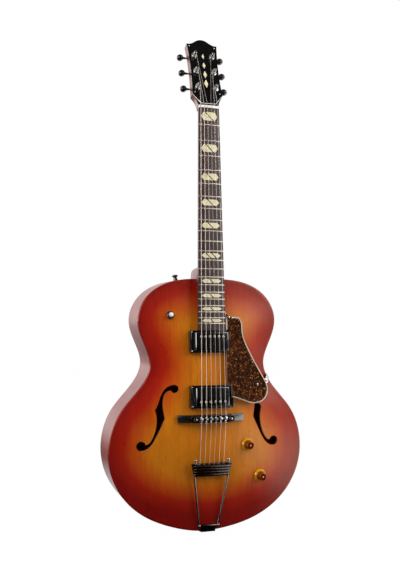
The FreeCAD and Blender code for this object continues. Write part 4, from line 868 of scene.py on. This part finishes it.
def bevel_edges(piece, chosen, width, steps=1):
    """Slant the edges that a test picks by their two ends, in the piece's own place."""
    edit(piece)
    bpy.ops.mesh.dissolve_limited(angle_limit=FLAT_ANGLE)
    bpy.ops.mesh.select_all(action="DESELECT")
    bpy.ops.mesh.select_mode(type="EDGE")
    shell = bmesh.from_edit_mesh(piece.data)
    count = 0
    for edge in shell.edges:
        sharp = len(edge.link_faces) == 2 and edge.calc_face_angle(0) > EDGE_ANGLE
        if sharp and chosen(*[vert.co for vert in edge.verts]):
            edge.select_set(True)
            count += 1
    bmesh.update_edit_mesh(piece.data)
    if not count:
        raise RuntimeError(f"{piece.name} has no edge to slant")
    bpy.ops.mesh.bevel(offset=width, segments=steps, affect="EDGES", clamp_overlap=True)
    bpy.ops.mesh.select_mode(type="VERT")
    bpy.ops.object.mode_set(mode="OBJECT")


PLATE_FRONT, PLATE_SLANT_TOP, INLAY_EDGE = 2.5, 27.6, 0.1


class GUITAR_OT_neck(Operator):
    """Neck, headplate, fretboard, frets, inlays and nut"""
    bl_idname = "guitar.neck"
    bl_label = "Neck"

    def execute(self, context):
        shapes = settings().shapes
        dress("neck")
        dress("fretboard")
        dress("frets", 0, fret_wire)
        dress("fret_inlays")
        dress("nut", shapes.fine_edge, bone)
        dress("headplate_inlay", INLAY_EDGE * MM)
        paint("truss_rod")
        plate = cad_copy("headplate", "headplate_shaped")
        to_head = HEAD_FRAME.inverted()

        def low_front(first, second):
            ends = [to_head @ end for end in (first, second)]
            return all(end.y < -PLATE_FRONT * MM and end.z < PLATE_SLANT_TOP * MM for end in ends)
        bevel_edges(plate, low_front, shapes.plate_bevel)
        soften(plate, 0)
        settle(plate, "headplate", finish_named(black_face))
        return {"FINISHED"}


class GUITAR_OT_tuners(Operator):
    """Tuning machines: housings, bushings, posts and ball buttons"""
    bl_idname = "guitar.tuners"
    bl_label = "Tuners"

    def execute(self, context):
        shapes = settings().shapes
        dress("tuner_housings", shapes.broad_edge)
        dress("tuner_bushings", shapes.fine_edge)
        for word, row in TUNERS:
            dress(f"tuner_post_{word}_{row}", shapes.fine_edge, rod_steel)
            dress(f"tuner_button_{word}_{row}", 0, black_button)
        return {"FINISHED"}


STRING_DIAMETERS = (1.32, 1.07, 0.81, 0.61, 0.42, 0.32)
LEAST_DIAMETER, WOUND_COUNT, MIDDLE_STRING, PLAYED_STEPS = 0.6, 4, 2, 8
NUT_SPREAD, SADDLE_SPREAD, TAIL_SPREAD = 36.4, 50.8, 50.0
NUT_LIFT, SADDLE_LIFT, SADDLE_DISTANCE, BOARD_RADIUS = 1.7, 4.7, 633.5, 305.0
NUT_LENGTH = 5.0
TAIL_BAR_TOP, BALL_RADIUS, BALL_LENGTH, BALL_WAIST, BALL_EDGE = 128.0, 1.6, 3.4, 0.72, 0.2
POST_ROWS, POST_OFFSET, POST_RADIUS, POST_GAP = (43.8, 83.6, 123.4), 19.5, 3.0, 0.3
WIND_START, TURN_GAP, TURNS, STEPS_A_TURN = 7.26, 0.55, 2.5, 20
CORNER_REACH = 3 * MM


def string_x(number, spread):
    """Sideways place of a string, in millimetres."""
    return spread * (number / (len(STRING_DIAMETERS) - 1) - 1 / 2)


def string_at(number, distance):
    """Centre of a string at a distance from the nut, in the part's frame."""
    share = distance / SADDLE_DISTANCE
    x = string_x(number, NUT_SPREAD + (SADDLE_SPREAD - NUT_SPREAD) * share)
    lift = NUT_LIFT + (SADDLE_LIFT - NUT_LIFT) * share - x ** 2 / (2 * BOARD_RADIUS)
    return NECK_FRAME @ (Vector((x, -lift - STRING_DIAMETERS[number] / 2, -distance)) * MM)


def towards(start, end, reach):
    """A point at a reach from the start on the way to the end."""
    return start + (end - start).normalized() * reach


def string_turns(number, nut):
    """Points of a string from the nut to and round its post, climbing a steady pitch."""
    radius = STRING_DIAMETERS[number] / 2
    per_side = len(POST_ROWS)
    side = -1 if number < per_side else 1
    row = POST_ROWS[number if number < per_side else 2 * per_side - 1 - number]
    local = HEAD_FRAME.inverted() @ nut / MM
    wind = POST_RADIUS + POST_GAP + radius
    away = Vector((local.x - side * POST_OFFSET, local.z - row))
    turn = math.atan2(away.y, away.x) - side * math.acos(wind / away.length)
    pitch = STRING_DIAMETERS[number] + TURN_GAP
    points = []
    for step in range(int(TURNS * STEPS_A_TURN) + 1):
        angle = turn - side * FULL_TURN * step / STEPS_A_TURN
        points.append(HEAD_FRAME @ (Vector((side * POST_OFFSET + wind * math.cos(angle),
                                            -WIND_START - pitch * step / STEPS_A_TURN,
                                            row + wind * math.sin(angle))) * MM))
    return points


def tube(name, points, diameter):
    """A round tube along a smooth open curve."""
    path = fresh(bpy.ops.curve.primitive_nurbs_path_add)
    path.name = name
    path.data.splines.clear()
    spline = path.data.splines.new("NURBS")
    spline.points.add(len(points) - 1)
    for knot, point in zip(spline.points, points):
        knot.co = (*point, 1)
    spline.order_u = 3
    spline.use_endpoint_u = True
    path.location = (0, 0, 0)
    path.data.dimensions = "3D"
    path.data.resolution_u = 3
    path.data.bevel_depth = diameter / 2
    path.data.bevel_resolution = 2
    path.data.use_fill_caps = True
    only(path)
    bpy.ops.object.convert(target="MESH")
    return bpy.context.view_layer.objects.active


def ball_end(number):
    """The small waisted barrel that anchors a string in the tailpiece."""
    barrel = fresh(bpy.ops.mesh.primitive_cylinder_add, vertices=24, radius=BALL_RADIUS * MM,
                   depth=BALL_LENGTH * MM)
    edit(barrel)
    bpy.ops.mesh.bisect(plane_co=(0, 0, 0), plane_no=(0, 0, 1))
    bpy.ops.transform.resize(value=(BALL_WAIST, BALL_WAIST, 1))
    bpy.ops.object.mode_set(mode="OBJECT")
    rounded(barrel, BALL_EDGE * MM, 2)
    place = Matrix.Translation(Vector((string_x(number, TAIL_SPREAD), 0, TAIL_BAR_TOP)) * MM)
    barrel.data.transform(TAIL_FRAME @ place @ FACE_FRONT)
    return barrel


class GUITAR_OT_strings(Operator):
    """Six strings in three runs: tailpiece to saddles, saddles to nut, nut to the turns on the posts"""
    bl_idname = "guitar.strings"
    bl_label = "Strings"

    def execute(self, context):
        runs = {"strings_tail": [], "strings_played": [], "strings_head": []}
        for number, diameter in enumerate(STRING_DIAMETERS):
            thick = max(diameter, LEAST_DIAMETER) * MM
            material = finish_named(wound_string if number < WOUND_COUNT else plain_string)
            tail = TAIL_FRAME @ (Vector((string_x(number, TAIL_SPREAD), 0, TAIL_BAR_TOP + BALL_RADIUS)) * MM)
            saddle = string_at(number, SADDLE_DISTANCE)
            nut = string_at(number, 0)
            nut_back = NECK_FRAME @ (NECK_FRAME.inverted() @ nut + Vector((0, 0, NUT_LENGTH * MM)))
            turns = string_turns(number, nut_back)
            near_post = towards(turns[0], nut_back, CORNER_REACH)
            made = {"strings_tail": [tail, tail.lerp(saddle, 0.5), saddle],
                    "strings_played": [saddle] + [
                        saddle.lerp(nut, step / PLAYED_STEPS) for step in range(1, PLAYED_STEPS)] + [nut],
                    "strings_head": [nut, towards(nut_back, nut, 0.5 * CORNER_REACH), nut_back,
                                     towards(nut_back, near_post, CORNER_REACH), near_post] + turns}
            for run, points in made.items():
                piece = tube(f"{run}_{number}", points, thick)
                piece.data.materials.append(material)
                runs[run].append(piece)
            ball = ball_end(number)
            ball.data.materials.append(finish_named(nickel))
            runs["strings_tail"].append(ball)
        for run, pieces in runs.items():
            whole = joined(pieces, run)
            smooth(whole)
            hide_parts("strings")
        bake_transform(bpy.data.objects["strings_tail"])
        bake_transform(bpy.data.objects["strings_played"])
        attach(bpy.data.objects["strings_head"], "guitar")
        return {"FINISHED"}


PICKUP_DISTANCES = (479.5, 589.5)
POLE_OFFSETS = (9.8, -9.8)
COVER_SIZE, COVER_LIFT, COVER_SMOOTH = Vector((69.5, 17.0, 38.0)) * MM, 0.6, math.radians(40)
POLE_RADIUS, POLE_LENGTH, POLE_FRONT = 2.4, 14.0, 1.05
SLOT_WIDTH, SLOT_DEPTH, HEAD_DOME = 0.6, 0.5, 0.18
SPIN_REACH, SPIN_STEP = 0.5, 2.3


def slotted_head(radius, height):
    """A round screw with a slot across its slightly domed head; its top is at zero, its axis along z."""
    screw = fresh(bpy.ops.mesh.primitive_cylinder_add, vertices=32, radius=radius, depth=height,
                  location=(0, 0, -height / 2))
    bpy.ops.object.transform_apply(location=True)
    rounded(screw, HEAD_DOME * radius, 3)
    blade = fresh(bpy.ops.mesh.primitive_cube_add, size=1)
    blade.scale = (3 * radius, SLOT_WIDTH * MM, 2 * SLOT_DEPTH * MM)
    bpy.ops.object.transform_apply(location=True, rotation=True, scale=True)
    apply_modifier(screw, "BOOLEAN", object=blade, operation="DIFFERENCE", solver="EXACT")
    bpy.data.objects.remove(blade)
    return screw


def copies(model, places):
    """Copies of a model, each with its own mesh, one for each matrix; the model is removed."""
    made = []
    for place in places:
        twin = bpy.data.objects.new(model.name, model.data.copy())
        bpy.context.scene.collection.objects.link(twin)
        twin.data.transform(place)
        made.append(twin)
    bpy.data.objects.remove(model)
    return made


class GUITAR_OT_pickups(Operator):
    """Two pickups: rings, covers and slotted pole screws"""
    bl_idname = "guitar.pickups"
    bl_label = "Pickups"

    def execute(self, context):
        shapes = settings().shapes
        for word in ("neck", "bridge"):
            dress(word + "_pickup_ring", shapes.broad_edge)
        for word, distance in zip(("neck", "bridge"), PICKUP_DISTANCES):
            cover = fresh(bpy.ops.mesh.primitive_cube_add, size=1)
            cover.name = word + "_pickup_cover_shaped"
            cover.scale = COVER_SIZE
            bpy.ops.object.transform_apply(location=False, rotation=False, scale=True)
            apply_modifier(cover, "BEVEL", width=shapes.cover_edge, segments=6)
            middle = (0, COVER_SIZE.y / 2 - COVER_LIFT * MM, -distance * MM)
            cover.data.transform(NECK_FRAME @ Matrix.Translation(middle))
            smooth(cover, COVER_SMOOTH)
            settle(cover, word + "_pickup_cover", finish_named(smoked_chrome))
        places = []
        for distance, offset in zip(PICKUP_DISTANCES, POLE_OFFSETS):
            for number in range(len(STRING_DIAMETERS)):
                x = (NECK_FRAME.inverted() @ string_at(number, distance)).x
                spin = Matrix.Rotation(SPIN_REACH * math.sin(SPIN_STEP * number + distance), 4, "Z")
                places.append(NECK_FRAME @ Matrix.Translation((x, -POLE_FRONT * MM, (offset - distance) * MM))
                              @ FACE_FRONT @ spin)
        screws = joined(copies(slotted_head(POLE_RADIUS * MM, POLE_LENGTH * MM), places),
                        "pickup_poles_shaped")
        smooth(screws)
        settle(screws, "pickup_poles", finish_named(fret_wire))
        paint("pickup_coils")
        return {"FINISHED"}


class GUITAR_OT_bridge(Operator):
    """Floating bridge: base, posts, wheels, bar, saddles and screws"""
    bl_idname = "guitar.bridge"
    bl_label = "Bridge"

    def execute(self, context):
        shapes = settings().shapes
        for node in ("bridge_base", "bridge_posts", "bridge_bar"):
            dress(node, shapes.fine_edge)
        dress("bridge_saddles", shapes.fine_edge, rod_steel)
        for node in ("saddle_screws", "bass_thumbwheel", "treble_thumbwheel"):
            dress(node, shapes.fine_edge)
        return {"FINISHED"}


class GUITAR_OT_tailpiece(Operator):
    """Hinged tailpiece with its rods, bars and pins"""
    bl_idname = "guitar.tailpiece"
    bl_label = "Tailpiece"

    def execute(self, context):
        shapes = settings().shapes
        dress("tailpiece_rods", 0, rod_steel)
        dress("tailpiece_bars", shapes.fine_edge)
        dress("tailpiece_hinge", shapes.fine_edge)
        dress("end_pin", shapes.broad_edge, None, 3)
        dress("strap_button", shapes.broad_edge, None, 3)
        return {"FINISHED"}


KNOB_PROFILE = ((7.2, 0.8), (12.6, 0.8), (13.0, 1.1), (13.0, 1.8), (12.7, 2.3), (11.6, 3.4), (10.5, 4.5),
                (9.7, 5.6), (9.2, 7.0), (8.8, 9.0), (8.4, 12.0), (8.1, 15.2), (7.85, 16.2), (7.4, 16.8),
                (6.6, 17.0), (6.1, 16.85), (5.4, 16.7), (3.0, 16.6), (1.8, 16.6), (1.35, 16.8), (1.25, 17.3),
                (0.9, 17.5), (0.0, 17.5))
KNOB_FACE, KNOB_FACE_RADIUS, BOSS_FOOT, BOSS_RADIUS = 16.5 * MM, 6.6 * MM, 16.65 * MM, 1.6 * MM
KNOB_SMOOTH, KNOB_MERGE = math.radians(50), 0.02 * MM


def turned_knob(name, steps):
    """A top-hat knob spun from its profile; its axis is z and its foot is at zero."""
    knob = fresh(bpy.ops.mesh.primitive_plane_add, size=1)
    knob.name = name
    edit(knob)
    bpy.ops.mesh.delete(type="VERT")
    shell = bmesh.from_edit_mesh(knob.data)
    verts = [shell.verts.new((radius * MM, 0, height * MM)) for radius, height in KNOB_PROFILE]
    for first, second in zip(verts, verts[1:]):
        shell.edges.new((first, second))
    bmesh.update_edit_mesh(knob.data)
    bpy.ops.mesh.select_all(action="SELECT")
    bpy.ops.mesh.spin(steps=steps, angle=FULL_TURN, center=(0, 0, 0), axis=(0, 0, 1))
    bpy.ops.mesh.select_all(action="SELECT")
    bpy.ops.mesh.remove_doubles(threshold=KNOB_MERGE)
    bpy.ops.mesh.select_all(action="DESELECT")
    bpy.ops.mesh.select_non_manifold()
    bpy.ops.mesh.edge_face_add()
    bpy.ops.mesh.select_all(action="SELECT")
    bpy.ops.mesh.normals_make_consistent(inside=False)
    bpy.ops.object.mode_set(mode="OBJECT")
    return knob


def frame_of(joint_name):
    """Where a joint turns and the way its axis points."""
    joint = next(joint for joint in frame["joints"] if joint["name"] == joint_name)
    return Vector(joint["pos_m"]), Vector(joint["axis"]).normalized()


SWITCH_TIP = 12.9 * MM


class GUITAR_OT_controls(Operator):
    """Knobs, pickup switch and output jack"""
    bl_idname = "guitar.controls"
    bl_label = "Controls"

    def execute(self, context):
        shapes = settings().shapes
        for word in ("volume", "tone"):
            place, way = frame_of(word + "_turn")
            knob = turned_knob(word + "_knob_shaped", shapes.knob_steps)
            turn = way.to_track_quat("Z", "X").to_matrix().to_4x4()
            knob.data.transform(Matrix.Translation(place) @ turn)
            smooth(knob, KNOB_SMOOTH)
            settle(knob, word + "_knob", amber(word + "_amber", place, way))
            knob.data.materials.append(finish_named(knob_top))
            knob.data.materials.append(finish_named(brass))
            for face in knob.data.polygons:
                out = face.center - place
                rise = out.dot(way)
                reach = (out - way * rise).length
                if rise > KNOB_FACE and reach < KNOB_FACE_RADIUS:
                    face.material_index = 2 if rise > BOSS_FOOT and reach < BOSS_RADIUS else 1
        dress("switch_nut", 0, nickel)
        lever = dress("switch_lever", 0, nickel)
        lever.data.materials.append(finish_named(bone))
        pivot = frame_of("switch_throw")[0]
        for face in lever.data.polygons:
            if (face.center - pivot).length > SWITCH_TIP:
                face.material_index = 1
        dress("output_jack", shapes.fine_edge)
        paint("switch_body")
        paint("control_pots")
        return {"FINISHED"}


SCREW_CLEARANCE, SCREW_REACH, FACE_GAP = 6.0, 4.0, 0.05
FLAT_FRONT, SIDE_FACING, GUARD_SMOOTH = 0.99, 0.5, math.radians(12)
NOTCH_SIDE, NOTCHES = 41.2, ((-499.8, -459.2), (-620.0, -562.3))


def slant_guard(guard, width, depth):
    """Inset the pickguard's front and push its outline back, but not at screw holes and notches."""
    to_neck = NECK_FRAME.inverted()
    screws = [to_neck @ vert.co for vert in frame["nodes"]["trim_screws"].data.vertices]
    near = [place for place in screws if abs(place.y - GUARD_FACE * MM) < SCREW_REACH * MM]
    screws = np.array([(place.x, place.z) for place in near])
    edit(guard)
    bpy.ops.mesh.dissolve_limited(angle_limit=FLAT_ANGLE)
    bpy.ops.mesh.select_all(action="DESELECT")
    bpy.ops.mesh.select_mode(type="FACE")
    shell = bmesh.from_edit_mesh(guard.data)
    front = -(NECK_FRAME.to_3x3() @ Vector((0, 1, 0)))
    for face in shell.faces:
        face.select_set(face.normal.dot(front) > FLAT_FRONT)
    bmesh.update_edit_mesh(guard.data)
    bpy.ops.mesh.inset(thickness=width, use_even_offset=True, use_boundary=True)
    shell = bmesh.from_edit_mesh(guard.data)
    outline = []
    for vert in shell.verts:
        place = to_neck @ vert.co
        at_side = any(face.normal.dot(front) < SIDE_FACING for face in vert.link_faces)
        at_front = abs(place.y - GUARD_FACE * MM) < FACE_GAP * MM
        gap = np.hypot(screws[:, 0] - place.x, screws[:, 1] - place.z).min()
        notched = place.x < NOTCH_SIDE * MM and any(low * MM < place.z < high * MM for low, high in NOTCHES)
        if at_side and at_front and not notched and gap > SCREW_CLEARANCE * MM:
            outline.append(vert)
    if not outline:
        raise RuntimeError("the pickguard has no outline to slant")
    for vert in outline:
        vert.co -= front * depth
    bmesh.update_edit_mesh(guard.data)
    bpy.ops.mesh.select_mode(type="VERT")
    bpy.ops.object.mode_set(mode="OBJECT")
    smooth(guard, GUARD_SMOOTH)


class GUITAR_OT_trim(Operator):
    """Pickguard, bracket and small screws"""
    bl_idname = "guitar.trim"
    bl_label = "Trim"

    def execute(self, context):
        shapes = settings().shapes
        guard = cad_copy("pickguard", "pickguard_shaped")
        slant_guard(guard, shapes.guard_bevel, shapes.guard_slant)
        settle(guard, "pickguard", finish_named(tortoise))
        dress("pickguard_bracket", shapes.fine_edge)
        dress("trim_screws", shapes.fine_edge)
        paint("pickguard_spacer", neck_wood)
        return {"FINISHED"}


WHITE = (1.0, 1.0, 1.0, 1.0)
FLOOR_SIZE = 14
FLOOR_LOOK = (("Base Color", (0.35, 0.35, 0.35, 1)), ("Roughness", 0.9), ("Specular IOR Level", 0.1))
LIGHT_AIM = Vector((0, 0, 0.45))
LIGHTS = (("key", (1.93, -1.80, 1.60), (1.8, 2.2), True), ("fill", (-1.25, -1.45, 1.75), (1.0, 1.2), False),
          ("back", (0.7, 2.2, 1.7), (1.6, 1.8), False))


def light(name, place, size, power, glossy):
    """A soft rectangular light aimed at the body, shown in gloss or not."""
    data = bpy.data.lights.new(name, "AREA")
    data.shape = "RECTANGLE"
    data.size, data.size_y = size
    data.energy = power
    lamp = bpy.data.objects.new(name, data)
    lamp.location = place
    lamp.visible_glossy = glossy
    lamp.rotation_euler = (LIGHT_AIM - Vector(place)).to_track_quat("-Z", "Y").to_euler()
    bpy.context.scene.collection.objects.link(lamp)


def place_camera(scene, stage):
    """The camera at the photograph's angle."""
    camera = bpy.data.objects.new("camera", bpy.data.cameras.new("camera"))
    scene.collection.objects.link(camera)
    turn, tilt, lean = stage.camera_turn
    facing = Matrix.Rotation(turn, 4, "Z") @ Matrix.Rotation(tilt, 4, "X") @ Matrix.Rotation(lean, 4, "Y")
    camera.matrix_world = Matrix.Translation(stage.camera_place) @ facing @ FACE_FRONT
    camera.data.lens = stage.focal_length
    camera.data.sensor_width = SENSOR_WIDTH
    camera.data.dof.use_dof = False
    scene.camera = camera


def seen_in_gloss(graph, rays, plain, gloss):
    """A strength that has a value of its own in gloss, and the share of gloss."""
    mirrored = graph.paired("MAXIMUM", rays["Is Glossy Ray"], rays["Is Transmission Ray"])
    return graph.node("Mix", {"Factor": mirrored, "A": plain, "B": gloss}).outputs["Result"], mirrored


def floor_gloss(graph):
    """How bright the floor glows in gloss, by metres: a painted patch of lamp light on the right, painted bands of
    lit paper behind the guitar, and painted shade on the floor close to the guitar.
    """
    place = graph.node("TexCoord").outputs["Object"]
    x, y = graph.axis(place, "X"), graph.axis(place, "Y")
    # Painted light: a patch on the floor, brighter than white, that glows in gloss where the key lamp's light
    # would fall
    slant = graph.paired("ADD", x, graph.span(y, -2, 0, -4, 0))
    painted_lamp_patch = graph.paired("MULTIPLY", graph.span(slant, 0.02, 3.2, -0.05, 0.18),
                        graph.span(x, 0.02, 1.0, 0.20, 0.42))
    painted_lamp_patch = graph.paired("MULTIPLY", painted_lamp_patch, graph.span(y, 0.02, 1.0, -2.4, -1.2))
    # Painted light and shade: lit paper just behind the guitar, dimmer farther back, and dark right at and in
    # front of it
    painted_paper_light_and_shade = graph.paired("MAXIMUM", graph.span(y, 0.95, 0.10, 0.38, 0.75),
                         graph.span(y, 0.10, 0.65, 0.9, 2.6))
    painted_paper_light_and_shade = graph.paired("MULTIPLY", painted_paper_light_and_shade, graph.span(y, 0, 1, 0.05, 0.12))
    return graph.paired("MAXIMUM", painted_lamp_patch, painted_paper_light_and_shade)


def lay_floor(stage):
    """A pale floor that keeps the guitar's shadow."""
    floor = fresh(bpy.ops.mesh.primitive_plane_add, size=FLOOR_SIZE,
                  location=(0, 0, cad_box[0].z - stage.floor_drop))
    floor.name = "floor"
    paper = bpy.data.materials.new("floor_paper")
    paper.use_nodes = True
    graph = Graph(paper.node_tree)
    shader = graph.nodes["Principled BSDF"]
    for socket, value in FLOOR_LOOK:
        shader.inputs[socket].default_value = value
    rays = graph.node("LightPath").outputs
    strength, mirrored = seen_in_gloss(graph, rays, stage.paper_glow, floor_gloss(graph))
    glow = graph.node("Emission", {"Strength": strength}).outputs[0]
    white = graph.span(rays["Is Camera Ray"], 0, stage.paper_white)
    blend = graph.node("MixShader",
                       {0: graph.paired("MAXIMUM", white, mirrored), 1: shader.outputs[0], 2: glow})
    graph.links.new(blend.outputs[0], graph.nodes["Material Output"].inputs["Surface"])
    floor.data.materials.append(paper)


def surround(scene, stage):
    """A white surround; gloss shows it dark in front, bright behind and with a window on the left."""
    world = bpy.data.worlds.new("surround")
    scene.world = world
    world.use_nodes = True
    graph = Graph(world.node_tree)
    way = graph.node("TexCoord").outputs["Generated"]
    behind = graph.span(graph.axis(way, "Y"), stage.front_gloss, 1.0, -0.45, 0.20)
    window = graph.paired("MULTIPLY", graph.span(graph.axis(way, "X"), 1, 0, -0.52, -0.38),
                          graph.span(graph.axis(way, "Z"), stage.side_gloss, 0, 0.35, 0.55))
    rays = graph.node("LightPath").outputs
    level = seen_in_gloss(graph, rays, stage.ambient, graph.paired("MAXIMUM", behind, window))[0]
    sky = graph.nodes["Background"]
    sky.inputs["Color"].default_value = WHITE
    graph.links.new(graph.paired("MAXIMUM", level, rays["Is Camera Ray"]), sky.inputs["Strength"])


class GUITAR_OT_stage(Operator):
    """Camera, lights, pale floor and white surround"""
    bl_idname = "guitar.stage"
    bl_label = "Stage"

    def execute(self, context):
        stage = settings().stage
        place_camera(context.scene, stage)
        context.scene.view_settings.view_transform = "Standard"
        for word, place, size, glossy in LIGHTS:
            light(word + "_light", place, size, getattr(stage, word + "_power"), glossy)
        lay_floor(stage)
        surround(context.scene, stage)
        return {"FINISHED"}


SETTINGS = (("guitar_woods", GuitarWoods), ("guitar_plastics", GuitarPlastics),
            ("guitar_metals", GuitarMetals), ("guitar_shapes", GuitarShapes), ("guitar_stage", GuitarStage))
STEPS = (GUITAR_OT_stage, GUITAR_OT_strings, GUITAR_OT_body, GUITAR_OT_neck, GUITAR_OT_tuners,
         GUITAR_OT_pickups, GUITAR_OT_bridge, GUITAR_OT_tailpiece, GUITAR_OT_controls, GUITAR_OT_trim)


class GUITAR_PT_panel(Panel):
    """The guitar's steps and settings"""
    bl_label = "Archtop guitar"
    bl_idname = "GUITAR_PT_panel"
    bl_space_type = "VIEW_3D"
    bl_region_type = "UI"
    bl_category = "Guitar"

    def draw(self, context):
        for step in STEPS:
            self.layout.operator(step.bl_idname)
        for name, group in SETTINGS:
            box = self.layout.box()
            for setting in group.__annotations__:
                box.prop(getattr(context.scene, name), setting)


CLASSES = tuple(group for name, group in SETTINGS) + STEPS + (GUITAR_PT_panel,)


def register():
    """Make the settings, steps and panel known."""
    for item in CLASSES:
        bpy.utils.register_class(item)
    for name, group in SETTINGS:
        setattr(bpy.types.Scene, name, PointerProperty(type=group))


def unregister():
    """Take them away again."""
    for name, group in SETTINGS:
        delattr(bpy.types.Scene, name)
    for item in reversed(CLASSES):
        bpy.utils.unregister_class(item)


def main():
    """Run every step in order."""
    register()
    for step in STEPS:
        group, name = step.bl_idname.split(".")
        getattr(getattr(bpy.ops, group), name)()


if __name__ == "__main__":
    main()
